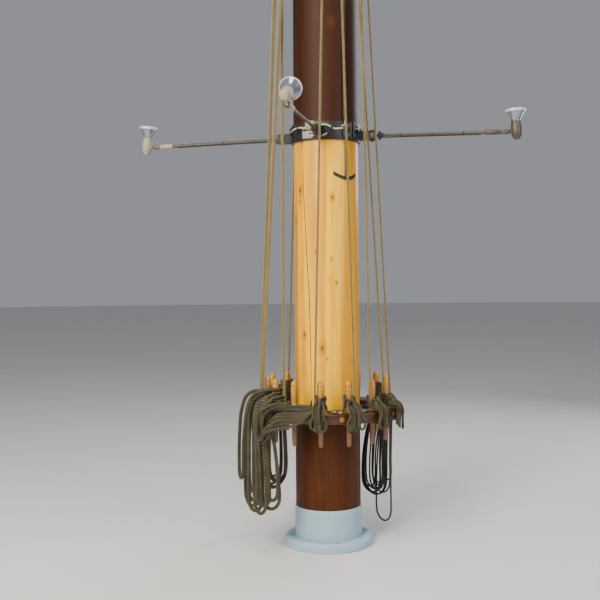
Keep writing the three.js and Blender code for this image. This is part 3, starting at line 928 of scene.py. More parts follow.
@dataclass
class Studio:
    """The camera at the photograph's viewing angle, the floor and the soft lights.

    The pitch is downwards and the roll to the right, in degrees, and the lens is in millimetres on a 36 mm
    sensor. The floor is its radius and the sky its colour and strength. The lights are rows of name, place,
    aim, width, height, watts and colour.
    """

    eye: tuple = (-2.756, -5.254, 1.7)
    heading: tuple = (0.4384, 0.8988)
    pitch: float = 1.25
    roll: float = 0.46
    lens: float = 55.1
    floor: float = 60.0
    sky: tuple = ((0.86, 0.89, 0.95, 1.0), 0.34)
    lights: tuple = (
        ("key", (-5.6, -3.6, 5.2), (0, 0, 2.6), 2.0, 5.0, 840.0, (1.0, 0.92, 0.79)),
        ("fill", (2.6, -5.6, 3.4), (0, 0, 2.0), 2.4, 4.0, 170.0, (0.95, 0.97, 1.0)),
        ("rim", (5.0, 2.4, 5.0), (0, 0, 2.6), 1.4, 5.0, 190.0, (0.93, 0.95, 1.0)),
        ("strip", (-5.2, -0.25, 2.9), (0, 0, 2.2), 0.35, 3.6, 60.0, (1.0, 0.98, 0.95)),
        ("high", (-1.5, -3.5, 11.0), (0, 0, 6.5), 4.0, 4.0, 420.0, (1.0, 0.97, 0.92)),
    )

    def aimed(self, made: bpy.types.Object, place: tuple, turn: Quaternion) -> None:
        """Stands a camera or a light at its place, turned."""
        placed(made).location = place
        made.rotation_mode = "QUATERNION"
        made.rotation_quaternion = turn

    def camera(self) -> None:
        """Makes the camera."""
        data = bpy.data.cameras.new("camera")
        data.lens, data.sensor_width = self.lens, 36.0
        made = bpy.data.objects.new("camera", data)
        pitch = radians(self.pitch)
        ahead = Vector((*self.heading, 0.0)).normalized() * cos(pitch) - Vector((0, 0, sin(pitch)))
        lean = Quaternion(ahead, radians(self.roll))
        self.aimed(made, self.eye, lean @ ahead.to_track_quat("-Z", "Y"))
        bpy.context.scene.camera = made

    def set(self) -> None:
        """Lays the floor and lights it."""
        shape = Shape()
        bmesh.ops.create_circle(shape.bm, cap_ends=True, segments=96, radius=self.floor)
        ground = shape.thing("floor")
        ground.data.materials.append(StudioFloor("studio_floor").material())
        world = bpy.data.worlds.new("studio")
        bpy.context.scene.world = world
        world.use_nodes = True
        for socket, value in zip(world.node_tree.nodes["Background"].inputs, self.sky):
            socket.default_value = value
        for name, place, aim, wide, tall, watts, tint in self.lights:
            data = bpy.data.lights.new(name, "AREA")
            data.shape, data.size, data.size_y = "RECTANGLE", wide, tall
            data.energy, data.color = watts, tint
            turn = (Vector(aim) - Vector(place)).to_track_quat("-Z", "Y")
            self.aimed(bpy.data.objects.new(name, data), place, turn)


@dataclass(frozen=True)
class Loop:
    """One turn of a hung coil: its middle to the right of the coil's station, half-width and lowest height.

    The layer is the number of ropes between it and the rail's face, the level that below it on the pin and
    the ring that between it and the pin. The turn is its angle to the rail's face in degrees, with its second
    side behind. A crossed one crosses in front of the pin.
    """

    centre: float
    half: float
    low: float
    layer: float
    level: float
    ring: float = 0.0
    turn: float = 0.0
    crossed: bool = False

    def wide(self) -> float:
        """Half of what it spans along the rail."""
        return self.half * cos(radians(self.turn))

    def deep(self) -> float:
        """Half of what it spans away from the rail."""
        return self.half * sin(radians(self.turn))


@dataclass
class HungCoil:
    """A line that is belayed on a pin, coiled, and hung on the pin with its last turn crossed over.

    Its points are rows of right, outwards and up from its own station.

    Attributes:
        name: the solid that it stands for.
        degrees: its station's angle.
        rope: its rope.
        length: of the whole line.
        pin: the pin's place to the right of the station.
        seed: of the small sways.
        start: where the line comes from.
        loops: its turns, from the rail outwards.
        tail: the line's end, listed.
        to_right: whether the end lies to the right.
        clear: between the rope and what it lies on.
        bend: the tightest turn round a pin, in diameters.
    """

    name: str
    degrees: float
    rope: Rope
    length: float
    pin: float
    seed: int
    start: tuple
    loops: tuple[Loop, ...] = ()
    tail: tuple = ()
    to_right: bool = False
    clear: float = 0.001
    bend: float = 1.4

    def pin_radius(self, z: float) -> float:
        """The pin's radius at a height above the rail."""
        up = z - RAIL_TOP
        return 0.0212 if up < 0.011 else 0.017 + max(0.0, up - 0.02) * 0.052

    def snug(self, pin_radius: float) -> float:
        """The radius of a turn that lies round a pin."""
        thick = self.rope.diameter
        return max(pin_radius + self.clear + thick * 0.5, thick * self.bend)

    def wrap(self, level: float, ring: float = 0.0) -> tuple[float, float]:
        """A turn's radius and height on the pin."""
        height = RAIL_TOP + 0.006 + self.rope.diameter * (0.5 + 0.94 * level)
        return self.snug(self.pin_radius(height)) + self.rope.diameter * 0.92 * ring, height

    def in_front(self, height: float, ropes: float) -> float:
        """How far out a line lies that passes in front of the pin, some ropes away from it."""
        return PIN_CIRCLE + self.pin_radius(height) + self.rope.diameter * ropes

    def off_corner(self, layer: float) -> float:
        """How far a layer's middle is from the centre of the rail's rounded edge."""
        return RAIL_ROUND + self.clear + self.rope.diameter * (0.5 + 0.8 * layer)

    def over_edge(self, layer: float, share: float = 0.7071) -> tuple[float, float]:
        """Where a layer crosses the rail's upper outer edge: how far out and how high."""
        reach = self.off_corner(layer)
        out = RAIL_OUT - RAIL_ROUND + reach * sqrt(1 - share * share)
        return out, RAIL_TOP - RAIL_ROUND + reach * share

    def face(self, layer: float) -> float:
        """How far out a layer hangs."""
        return RAIL_OUT - RAIL_ROUND + self.off_corner(layer)

    def behind(self, level: float, ring: float) -> list[tuple]:
        """The half-turn behind the pin, and a little more at both ends."""
        radius, height = self.wrap(level, ring)
        rows = []
        for degrees in (-38, 0, 45, 90, 135, 180, 218):
            right, back = radius * cos(radians(degrees)), radius * sin(radians(degrees))
            up = height + (degrees - 90) / 300 * self.rope.diameter
            rows.append((self.pin + right, PIN_CIRCLE - back, up))
        return rows

    def leg(self, loop: Loop, side: int, sway: random.Random) -> list[tuple]:
        """One side of a turn, from the rail's edge down into its round.

        Args:
            loop: the turn.
            side: -1 for its left side and 1 for its right one.
            sway: gives its small lean.

        Returns:
            Its points.
        """
        thick, wide, deep = self.rope.diameter, loop.wide(), loop.deep()
        layer, throat = loop.layer, self.pin * 0.3 + loop.centre * 0.7 + side * wide * 0.7
        if not loop.turn:
            radius = self.wrap(loop.level, loop.ring)[0]
            throat = self.pin * 0.45 + loop.centre * 0.5 + side * min(wide, radius + (wide - radius) * 0.45)
        elif side > 0:
            layer -= 1.0
        face, middle = self.face(layer), self.face(loop.layer) - deep
        lean = sway.uniform(-0.25, 0.25) * thick
        top, under = RAIL_TOP - 0.8 * thick, RAIL_BOTTOM + 0.5 * thick
        round_end = min(loop.half * 1.25, (top - loop.low) * 0.45)
        rows = [(throat * 0.98, *self.over_edge(layer, 0.95)), (throat, *self.over_edge(layer))]
        rows.append((throat, face, top))
        for share in (0.25, 0.5, 0.75, 1.0):
            spread = sin(min(1.0, share * 1.15) * pi / 2)
            right = throat + (loop.centre + side * wide - throat) * spread + lean * sin(share * pi)
            up = top - (top - loop.low - round_end) * share
            back = min(1.0, max(0.0, (under - up) / max(0.001, under - loop.low - round_end)))
            rows.append((right, face + (middle - side * deep - face) * back, up))
        for turn in (radians(30), radians(60)):
            out, up = middle - side * deep * cos(turn), loop.low + round_end * (1 - sin(turn))
            rows.append((loop.centre + side * wide * cos(turn), out, up))
        return rows

    def hanging(self, loop: Loop, first: int, sway: random.Random) -> list[tuple]:
        """A turn below the rail, down its first side, -1 for the left one, and up the other."""
        down, back = self.leg(loop, first, sway), self.leg(loop, -first, sway)
        return [*down, (loop.centre, self.face(loop.layer) - loop.deep(), loop.low), *back[::-1]]

    def belay(self) -> list[tuple]:
        """The line's arrival and its turn under the rail, behind the pin's stem and up again."""
        right, out, up = self.start
        side = -1 if right < self.pin else 1
        edge_out, edge_up = self.over_edge(0)
        face, thick = self.face(0), self.rope.diameter
        high, low = RAIL_TOP - 0.022, RAIL_BOTTOM + 0.014
        under = RAIL_BOTTOM - self.clear - thick * 0.5
        stem = side * self.snug(0.0155)
        low_edge = RAIL_BOTTOM + RAIL_ROUND - self.off_corner(0) * 0.7071
        down = ((edge_out, edge_up), (face, high), (face, low), (edge_out, low_edge))
        round_stem = ((1, 0.03), (1, 0.0), (0, -abs(stem)), (-1, 0.0), (-1, 0.03))
        arrival = right * 0.9 + (self.pin + stem * 0.8) * 0.1
        rows = [self.start, (arrival, out * 0.7 + edge_out * 0.3, up - (up - edge_up) * 0.6)]
        rows += [(self.pin + stem * 0.8, *row) for row in down]
        rows += [(self.pin + stem * share, PIN_CIRCLE + away, under) for share, away in round_stem]
        rows += [(self.pin - stem * 0.8, *row) for row in down[::-1]]
        if side > 0:
            radius, height = self.wrap(0)
            front = self.in_front(height, 1)
            rows += [(self.pin - 0.3 * radius, (front + edge_out) / 2, height + 0.15 * thick)]
            rows += [(self.pin + 0.75 * radius, front, height + 0.5 * thick)]
        return rows

    def crossing(self, loop: Loop, sway: random.Random) -> list[tuple]:
        """A turn whose sides cross in front of the pin.

        Args:
            loop: the turn.
            sway: gives its small leans.

        Returns:
            Its points.
        """
        thick, middle = self.rope.diameter, self.pin + loop.centre * 0.3
        radius, height = self.wrap(loop.level, loop.ring)
        front = self.in_front(height, 0.55 + loop.ring)
        return [
            *self.behind(loop.level, loop.ring)[:-1],
            (self.pin - radius * 0.72, front - 0.35 * thick, height - 0.1 * thick),
            (middle, front + 0.9 * thick, height - 0.75 * thick),
            *self.hanging(loop, 1, sway),
            (middle - 0.1 * thick, front + 1.35 * thick, height + 0.18 * thick),
            (self.pin + radius * 0.72, front - 0.1 * thick, height + 0.75 * thick),
        ]

    def end(self, level: float) -> list[tuple]:
        """The last half-turn behind the pin and the line's end, which lies on the rail.

        Args:
            level: the ropes below it on the pin.

        Returns:
            Its points.
        """
        thick = self.rope.diameter
        radius, height = self.wrap(level)
        rows = self.behind(level, 0.0)[:-2]
        if self.tail:
            return rows + list(self.tail)
        rows += [(self.pin - radius * 1.02, PIN_CIRCLE + 0.5 * radius, height - 0.1 * thick)]
        lie = RAIL_TOP + 0.53 * thick
        halfway = (height + lie) / 2
        # Each row: radii and ropes beside the pin, ropes outwards, the height and ropes above it.
        if self.to_right:
            front, route = self.in_front(height, 1), (
                (-0.6, 0.0, 0.3, height, -0.45), (0.5, 0.0, 0.8, height, -1.6), (1, 0.5, 1.0, halfway, 0),
                (1, 1.3, 1.3, lie, 0.35), (1, 2.8, 1.5, lie, 0), (1, 5.0, 1.2, lie, 0), (1, 7.0, 1.4, lie, 0),
            )
        else:
            front, route = PIN_CIRCLE, (
                (-1, -0.2, 1.5, height, -1.2), (-1, -0.7, 2.2, halfway, 0), (-1, -1.6, 2.7, lie, 0.35),
                (-1, -3.2, 2.8, lie, 0), (-1, -5.4, 2.4, lie, 0),
            )
        for radii, beside, out, up, above in route:
            rows.append((self.pin + radius * radii + beside * thick, front + out * thick, up + above * thick))
        return rows

    def line(self) -> list[Vector]:
        """The whole line: the belay, every turn and the end."""
        sway = random.Random(self.seed)
        route = self.belay()
        level = 0.0
        for loop in self.loops:
            level = max(level, loop.level + 1)
            if loop.crossed:
                route += self.crossing(loop, sway)
            else:
                route += self.behind(loop.level, loop.ring) + self.hanging(loop, -1, sway)
        return curved([self.place(*point) for point in route + self.end(level)], self.rope.step())

    def place(self, right: float, out: float, up: float) -> Vector:
        """A point that follows the rail round instead of leaving it on a straight line."""
        return Station(self.degrees + in_degrees(right / out)).at(0.0, out, up)


def whipping(line: list[Vector], diameter: float) -> Shape:
    """The twine round a rope's last diameters, a sleeve with the rope's cut end in it."""
    reach = diameter * 1.3
    end = evenly(line[-max(4, ceil(reach / (line[-1] - line[-2]).length)) :], reach / 24)
    return sweep(end, [diameter * 0.53] * 16, blunt=0.9)


def hang(name: str, rope: Rope, line: list[Vector], length: float) -> None:
    """Args:
        name: the solid that it stands for.
        rope: what it is made of.
        line: its centreline.
        length: its real length.
    """
    made = Piece(f"{name}_line", "hemp").add(rope.along(line), rope.finish).build(name, smooth=70.0)
    end = Piece(f"{name}_whipping", "hemp").add(whipping(line, rope.diameter), TWINE).build()
    LOG.info("%s: %.2f m of line, %.2f declared", name, length_of(line), length)


@dataclass
class Hanks:
    """All the hung-up lines on the pin rail.

    The thick rope is the big hank's at the left, the stout one the bundle's and the far side's, the slim one
    the small hanks' and the thin one the dark hank's at the right.
    """

    thick: Rope = Rope(0.025, SHADED_HEMP, sides=16, rings=12)
    stout: Rope = Rope(0.02, SHADED_HEMP)
    slim: Rope = Rope(0.015, SHADED_HEMP)
    thin: Rope = Rope(0.014, DARK_HEMP, sides=8, rings=9)
    bundle_length: float = 4.9

    def large(self) -> list[HungCoil]:
        """The three large coils. Their turns are rows of a Loop's own values."""
        thick = (
            (0.135, 0.05, 0.355, 0.9, 0, 0), (-0.012, 0.098, 0.305, 0.9, 0, 1),
            (0.12, 0.058, 0.3, 1.7, 1, 0, 18), (-0.086, 0.08, 0.372, 1.8, 1, 1),
            (0.062, 0.066, 0.266, 2.5, 2, 0), (-0.04, 0.078, 0.33, 2.6, 1, 2),
            (0.094, 0.04, 0.318, 3.2, 2, 1, 25), (-0.062, 0.076, 0.288, 3.4, 3, 0, 15),
            (0.026, 0.05, 0.276, 4.0, 3.0, 1.0, 20), (-0.13, 0.062, 0.455, 5.0, 4.0, 0.0, 0.0, True),
        )
        thin = (
            (0.05, 0.07, 0.262, 0.9, 0), (0.085, 0.074, 0.236, 1.7, 1), (0.026, 0.058, 0.29, 2.4, 2),
            (0.108, 0.048, 0.272, 2.4, 2, 1), (0.058, 0.096, 0.222, 3.1, 3), (0.04, 0.05, 0.306, 3.1, 3, 1),
            (0.014, 0.078, 0.24, 3.8, 4), (0.098, 0.068, 0.228, 3.8, 4, 1), (0.066, 0.058, 0.252, 4.5, 5),
            (0.08, 0.088, 0.214, 4.5, 5, 1), (-0.024, 0.036, 0.33, 5.2, 6),
            (0.018, 0.066, 0.04, 5.9, 7, 0, 0, True),
        )
        back = (
            (0, 0.075, 0.33, 0.9, 0), (0.012, 0.1, 0.282, 1.7, 1), (-0.016, 0.08, 0.312, 2.5, 2),
            (0.004, 0.096, 0.268, 3.2, 3), (-0.006, 0.06, 0.345, 3.9, 4),
            (0.002, 0.086, 0.292, 4.6, 5, 0, 0, True),
        )
        rows = (
            ("hank_thick", -61.5, self.thick, 18.4, 0.0142, 3, (-0.075, 0.445, 0.918), thick),
            ("hank_thin", 131, self.thin, 23.0, -0.0699, 17, (-0.1, 0.4, 0.93), thin),
            ("hank_back", -136.6, self.stout, 11.2, 0.0, 19, (-0.034, 0.412, 0.945), back),
        )
        return [HungCoil(*row, tuple(Loop(*turn) for turn in turns)) for *row, turns in rows]

    def small(self) -> list[HungCoil]:
        """The hanks on pins 01 to 04. Their turns are rows of centre, half, low and turn."""
        on_04 = (
            (0.012, 0.402, 0.978), (0.01, 0.436, 0.958), (0.022, 0.466, 0.93), (0.036, 0.488, 0.9),
            (0.043, 0.5, 0.866), (0.047, 0.503, 0.832), (0.052, 0.502, 0.8), (0.062, 0.5, 0.778),
            (0.076, 0.499, 0.774),
        )
        # Each row: angle, length, the pin's place, seed, start, tail, whether that lies right, and turns.
        rows = (
            (-8, 3.8, 0.0, 5, (-0.0335, 0.4167, 0.945), (), True, (
                (-0.02, 0.0215, 0.8, 28), (0.012, 0.0215, 0.806, 20), (-0.002, 0.022, 0.794, 24),
                (-0.027, 0.0215, 0.809, 16), (0.026, 0.022, 0.799, 18))),
            (18.5, 3.9, -0.0054, 8, (0.024, 0.4215, 0.95), (), False, (
                (-0.03, 0.022, 0.786, 20), (0.006, 0.022, 0.796, 24), (-0.014, 0.0225, 0.791, 20),
                (-0.042, 0.0215, 0.8, 16), (0.032, 0.0225, 0.806, 20))),
            (41, 3.1, 0.0161, 11, (-0.02, 0.41, 0.945), (), False, (
                (-0.008, 0.0215, 0.8, 26), (0.018, 0.0215, 0.81, 20), (-0.02, 0.022, 0.796, 18),
                (0.03, 0.022, 0.804, 20))),
            (62, 3.5, 0.0477, 13, (0.024, 0.389, 0.945), on_04, False, (
                (-0.008, 0.022, 0.802, 24), (0.014, 0.022, 0.78, 20), (-0.024, 0.0215, 0.796, 20),
                (0.028, 0.022, 0.77, 20))),
        )
        coils = []
        for number, (degrees, length, pin, seed, start, tail, to_right, turns) in enumerate(rows, 1):
            layers = (1.7, 2.4, 3.1, 3.7, 4.0) if len(turns) == 5 else (1.7, 2.4, 3.1, 3.6)
            loops = []
            for index, ((*sizes, turn), layer) in enumerate(zip(turns, layers), 1):
                last = index == len(turns)
                level, ring = (index + 0.2, 0.3) if last else (index, 0)
                loops.append(Loop(*sizes, layer, level, ring, turn, index >= len(turns) - 1))
            row = (f"hank_pin_{number:02d}", degrees, self.slim, length, pin, seed, start, tuple(loops))
            coils.append(HungCoil(*row, tail, to_right))
        return coils

    def bundle(self) -> list[Vector]:
        """The stout line's long coil, which lies along the rail and droops in loops at its left end."""
        route = [
            (-50.5, 0.362, 0.903), (-47, 0.392, 0.903), (-41.5, 0.418, 0.905), (-33, 0.4185, 0.904),
            (-27.5, 0.408, 0.9035), (-23, 0.391, 0.9035), (-19.6, 0.38, 0.9035), (-16.7, 0.385, 0.9035),
            (-15.2, 0.4, 0.9035), (-15.5, 0.417, 0.9035),
        ]
        # Each turn: its distance out and height on the rail, its left end's angle and lowest height, the two
        # heights of its lower side and how far that stands off the rail.
        turns = (
            (0.431, 0.9035, -47.2, 0.748, 0.893, 0.905, 0),
            (0.4515, 0.9035, -48.4, 0.762, 0.872, 0.897, 0.004),
            (0.442, 0.921, -46.6, 0.736, 0.851, 0.888, 0.008),
            (0.4625, 0.9195, -48.8, 0.752, 0.83, 0.88, 0.004),
            (0.452, 0.938, -47.8, 0.742, 0.803, 0.868, 0.014),
        )
        for turn, (out, top, left, low, low_left, low_right, off) in enumerate(turns):
            far = 0.524 + 0.0175 * turn
            right, face = -12.0 - 0.5 * turn, 0.479 + off
            route += [
                (-17.5, out, top), (-25.0, out, top + 0.001), (-33.0, out + 0.003, top + 0.001),
                (-39.5, max(out + 0.014, 0.462), top + 0.01), (left + 2.6, far - 0.03, 0.906 + 0.004 * turn),
                (left + 0.1, far - 0.006, 0.878 + 0.003 * turn), (left - 0.8, far, 0.838),
                (left - 0.8, far, low + 0.042), (left + 0.2, far, low + 0.012), (left + 2.2, far, low),
                (left + 4.2, far, low + 0.014), (left + 5.2, far - 0.002, low + 0.044),
                (left + 5.6, far - 0.006, (low + low_left) / 2 + 0.012),
                (left + 7.2, far - 0.016, low_left - 0.012), (-36.0, face + 0.018, low_left),
                (-30.0, face + 0.004, low_left * 0.8 + low_right * 0.2),
                (-23.5, face, low_left * 0.45 + low_right * 0.55),
                (right - 4.0, face - 0.001, low_right), (right - 1.3, 0.477, (low_right + top) / 2),
                (right - 0.2, 0.46, top + 0.002), (right - 1.8, 0.1824 + out * 0.6, top + 0.004),
            ]
        route += [(-19.0, 0.44, 0.94), (-26.0, 0.436, 0.94), (-31.0, 0.44, 0.937)]
        return curved(around(route), self.stout.step())

    def build(self) -> None:
        """Builds every hung-up line, and logs its length beside the declared one."""
        thick, thin, back = self.large()
        for coil in (thick, *self.small(), thin, back):
            hang(coil.name, coil.rope, coil.line(), coil.length)
        hang("hank_bundle", self.stout, self.bundle(), self.bundle_length)


@dataclass
class Falls:
    """The taut lines that come down from the upper band to the pin rail.

    Attributes:
        sheave: the radius of the sheaves' grooves.
        pairs: rows of block, diameter, and the left and right parts' landings: angle, distance out, height.
        singles: rows of name, the lug's angle and distance out, diameter and landing.
        belays: for a part that ends on a pin of its own, the landing's angle and the pin's.
    """

    sheave: float = 0.034
    pairs: tuple = (
        ("left", 0.024, (-80.0, 0.437, 0.918), (-71.2, 0.445, 0.918)),
        ("front", 0.015, (-12.6, 0.4167, 0.945), (21.8, 0.4215, 0.95)),
        ("right", 0.015, (65.6, 0.389, 0.945), (89.0, 0.405, 0.945)),
        ("back", 0.015, (176.2, 0.412, 0.945), (218.7, 0.412, 0.945)),
    )
    singles: tuple = (
        ("left_single", -67.0, 0.291, 0.02, (-50.5, 0.36, 0.903)),
        ("right_single", 52.0, 0.254, 0.015, (38.2, 0.41, 0.945)),
    )
    belays: tuple = ((-80.0, -85.14), (89.0, 94.86), (176.2, 172.0))

    def made_fast(self, rope: Rope, landing: tuple) -> list[Vector]:
        """The turns round the pin where a part lands, or nothing where it runs on into a hank.

        Args:
            rope: the fall's rope.
            landing: its angle, distance out and height.

        Returns:
            The line from the landing to its end.
        """
        degrees, out, up = landing
        for angle, pin in self.belays:
            if angle == degrees:
                start = (radians(degrees - pin) * out, out, up)
                return HungCoil("", pin, rope, 0.0, 0.0, 1, start).line()
        return []

    def pair(self, name: str, diameter: float, left: tuple, right: tuple) -> None:
        """A line over a block's sheave, with both its parts down to the rail.

        Args:
            name: the block's.
            diameter: the rope's.
            left: where its left part lands.
            right: where its right part lands.
        """
        degrees, twist, height = BLOCKS[name]
        across, inward = cos(radians(twist)), sin(radians(twist))
        rope = Rope(diameter, TAN_HEMP)
        turn = self.sheave + diameter / 2 + 0.001
        over = []
        for step in range(13):
            angle = pi * step / 12
            reach = -turn * cos(angle)
            over.append((reach * across, BLOCK_OUT - reach * inward, height + turn * sin(angle)))
        points = [*around([left]), *Station(degrees).line(over), *around([right])]
        near, far = self.made_fast(rope, left), self.made_fast(rope, right)
        line = near[:0:-1] + evenly(points, rope.step()) + far[1:]
        piece = Piece(f"fall_{name}", "hemp").add(rope.along(line), rope.finish)
        for turns in filter(None, (near, far)):
            piece.add(whipping(turns, diameter), TWINE)
        piece.build(smooth=70.0)

    def single(self, name: str, degrees: float, out: float, diameter: float, foot: tuple) -> None:
        """A line that hangs from a lug by its eye, down to the rail.

        Args:
            name: its own.
            degrees: the lug's angle.
            out: the lug's distance out.
            diameter: the rope's.
            foot: where it lands.
        """
        rope = Rope(diameter, TAN_HEMP)
        lug = Station(degrees)
        eye = 0.026
        head = LUG_BOTTOM - 0.03
        line = evenly([lug.at(0.0, out, head - 0.115), *around([foot])], rope.step())
        loop = [(0.004, out, head - 0.16)]
        for step in range(17):
            angle = tau * step / 16 * 0.94 + radians(11)
            loop.append((-eye * sin(angle), out, head - 0.045 - 2 * eye * cos(angle)))
        loop.append((-0.004, out, head - 0.16))
        piece = Piece(f"fall_{name}", "hemp").add(rope.along(line), rope.finish)
        piece.add(rope.along(curved(lug.line(loop), rope.step())), rope.finish)
        piece.add(seizing(lug, out, head - 0.118, diameter), TWINE)
        piece.add(shackle_on(lug, out), IRON).build(smooth=70.0)

    def build(self) -> None:
        """Builds every fall."""
        for row in self.pairs:
            self.pair(*row)
        for row in self.singles:
            self.single(*row)


def seizing(station: Station, out: float, up: float, diameter: float) -> Shape:
    """Turns of twine that hold an eye closed.

    Args:
        station: where it is.
        out: its distance out.
        up: its middle's height.
        diameter: the rope's.

    Returns:
        The ridged sleeve.
    """
    reach, steps = diameter * 1.1, 28
    profile = [(0.0, -reach)]
    for index in range(steps + 1):
        ridge = abs(sin(pi * index / 4))
        profile.append((diameter * (0.86 + 0.09 * ridge), -reach + 2 * reach * index / steps))
    return Shape.lathe([*profile, (0.0, reach)], 20).moved(Matrix.Translation(station.at(0.0, out, up)))


def shackle_on(station: Station, out: float) -> Shape:
    """A bow shackle through the end of a lug of the upper band."""
    wire, half, pin_up = 0.00475, 0.02, LUG_BOTTOM + 0.016
    rows = [(-half, out, pin_up), (-half, out, pin_up - 0.022)]
    for step in range(1, 8):
        angle = pi * step / 8
        rows.append((-half * cos(angle), out, pin_up - 0.03 - half * 1.35 * sin(angle)))
    rows += [(half, out, pin_up - 0.022), (half, out, pin_up)]
    pin = station.bar(wire, (-half - 0.006, out, pin_up), (half + 0.01, out, pin_up), 12)
    return station.cable(rows, wire, 0.004, 10).with_(pin)


@dataclass
class Spar:
    """The mast itself: its pole with an open check, squared head, boot and collar.

    Attributes:
        steps: faces round the pole.
        ring: from one ring of its points to the next.
        check: rows of height and angle that the long drying check follows.
        check_deep: its depth.
        check_wide: its width.
        spread: the degrees beside it within which points are led aside.
        fade: the height above and below it within which they come back.
        flat: from the axis to the cheeks' flats.
        head_half: half the squared head's width.
        head_top: where it ends and its tenon starts.
    """

    steps: int = 120
    ring: float = 0.06
    check: tuple = ((0.96, -29.6), (1.05, -30.5), (1.575, -33.4), (2.2, -43.9), (2.56, -47.4))
    check_deep: float = 0.009
    check_wide: float = 0.0056
    spread: float = 45.0
    fade: float = 0.5
    flat: float = 0.15
    head_half: float = 0.125
    head_top: float = 8.25

    def check_angle(self, z: float) -> float:
        """The check's angle at a height that it reaches."""
        for (low, first), (high, second) in zip(self.check, self.check[1:]):
            if z <= high:
                return first + (second - first) * (z - low) / (high - low)
        return self.check[-1][1]

    def open_check(self, pole: Shape) -> None:
        """Leads one column of points along the check and pulls it into the wood.

        Args:
            pole: the round pole.
        """
        wobble = random.Random(4)
        spacing = 360.0 / self.steps
        low, high = self.check[0][0], self.check[-1][0]
        column = round((self.check[0][1] + self.check[-1][1]) / 2 / spacing) * spacing
        rings: dict[float, list] = {}
        for vert in pole.bm.verts:
            if vert.co.xy.length > 0.05:
                rings.setdefault(round(vert.co.z, 4), []).append(vert)
        for z, verts in sorted(rings.items()):
            degrees = self.check_angle(min(high, max(low, z))) + wobble.uniform(-0.22, 0.22)
            inside = low <= z <= high
            fade = max(0.0, 1.0 - max(low - z, z - high, 0.0) / self.fade)
            opening = min(1.0, 0.2 + min(z - low, high - z) / 0.3) if inside else 0.0
            radius = spar_radius(z)
            for vert in verts:
                angle = in_degrees(atan2(vert.co.x, -vert.co.y)) - AFT_TURN
                away = (angle - column + 180.0) % 360.0 - 180.0
                turned = column + away + (degrees - column) * max(0.0, 1.0 - abs(away) / self.spread) * fade
                deep = 0.0004 * fade
                if inside and abs(away) < spacing * 1.5:
                    lip = round(away / spacing)
                    turned = degrees + in_degrees(lip * self.check_wide * opening / 2 / radius)
                    deep = 0.0 if lip else self.check_deep * opening
                    for face in () if lip else vert.link_faces:
                        face.material_index = 1
                vert.co = Station(turned).at(0.0, radius - deep, z)

    def pole(self) -> Shape:
        """The round pole with its check, rings all the way up, and flats for the cheeks."""
        count = round(HOUNDS / self.ring)
        heights = [HOUNDS * index / count for index in range(count + 1)]
        pole = Shape.lathe([(0.0, 0.0), *((spar_radius(z), z) for z in heights), (0.0, HOUNDS)], self.steps)
        self.open_check(pole)
        low, high = (self.flat, -0.3, 6.23), (0.3, 0.3, 7.3)
        flats = Shape.box(low, high).with_(Shape.box((-high[0], low[1], low[2]), (-low[0], high[1], high[2])))
        return pole.cut(flats)

    def head(self) -> Shape:
        """The squared masthead and its tenon."""
        half, side = self.head_half, self.head_half - 0.03
        outline = [(half, -side), (half, side), (side, half), (-side, half)]
        outline += [(-across, -along) for across, along in outline]
        head = Shape.slab(outline, HOUNDS - 0.002, self.head_top).bevel(0.004, 2, 20)
        tenon = Shape.box((-0.09, -0.09, self.head_top - 0.001), (0.09, 0.09, 8.39))
        return head.with_(tenon.bevel(0.003))

    def build(self) -> None:
        """Builds the spar and what is at its foot."""
        mast = Piece("mast_spar", "varnished_pine").add(self.pole(), AMBER, CHECK).add(self.head(), AMBER)
        mast.build("mast_pole", smooth=30.0)
        inside, wall, top = HEEL_RADIUS + 0.0004, HEEL_RADIUS + 0.0052, 0.2495
        sleeve = [
            (inside, 0.0005), (wall, 0.0005), (wall, 0.12), (wall - 0.0006, 0.2), (wall, 0.2385),
            (wall - 0.0012, top - 0.003), (wall - 0.003, top), (inside, top),
        ]
        boot = Shape.lathe(sleeve, 96, closed=True)
        Piece("mast_boot_coat", "boot_paint").add(boot, BOOT).build("mast_boot")
        outline = [(0.2156, 0.0005), (0.2848, 0.0005), (0.2848, 0.042), (0.267, 0.0598), (0.2156, 0.0598)]
        ring = Shape.lathe(fillet(outline, 0.006), 96, closed=True)
        collar = Piece("deck_collar_ring", "boot_paint").add(ring, BOOT)
        for index in range(8):
            bolt = Station(index * 45.0 + 12.0).bar(0.011, (0, 0.243, 0.055), (0, 0.243, 0.06), 6)
            collar.add(bolt, BOLT)
        collar.build("deck_collar")


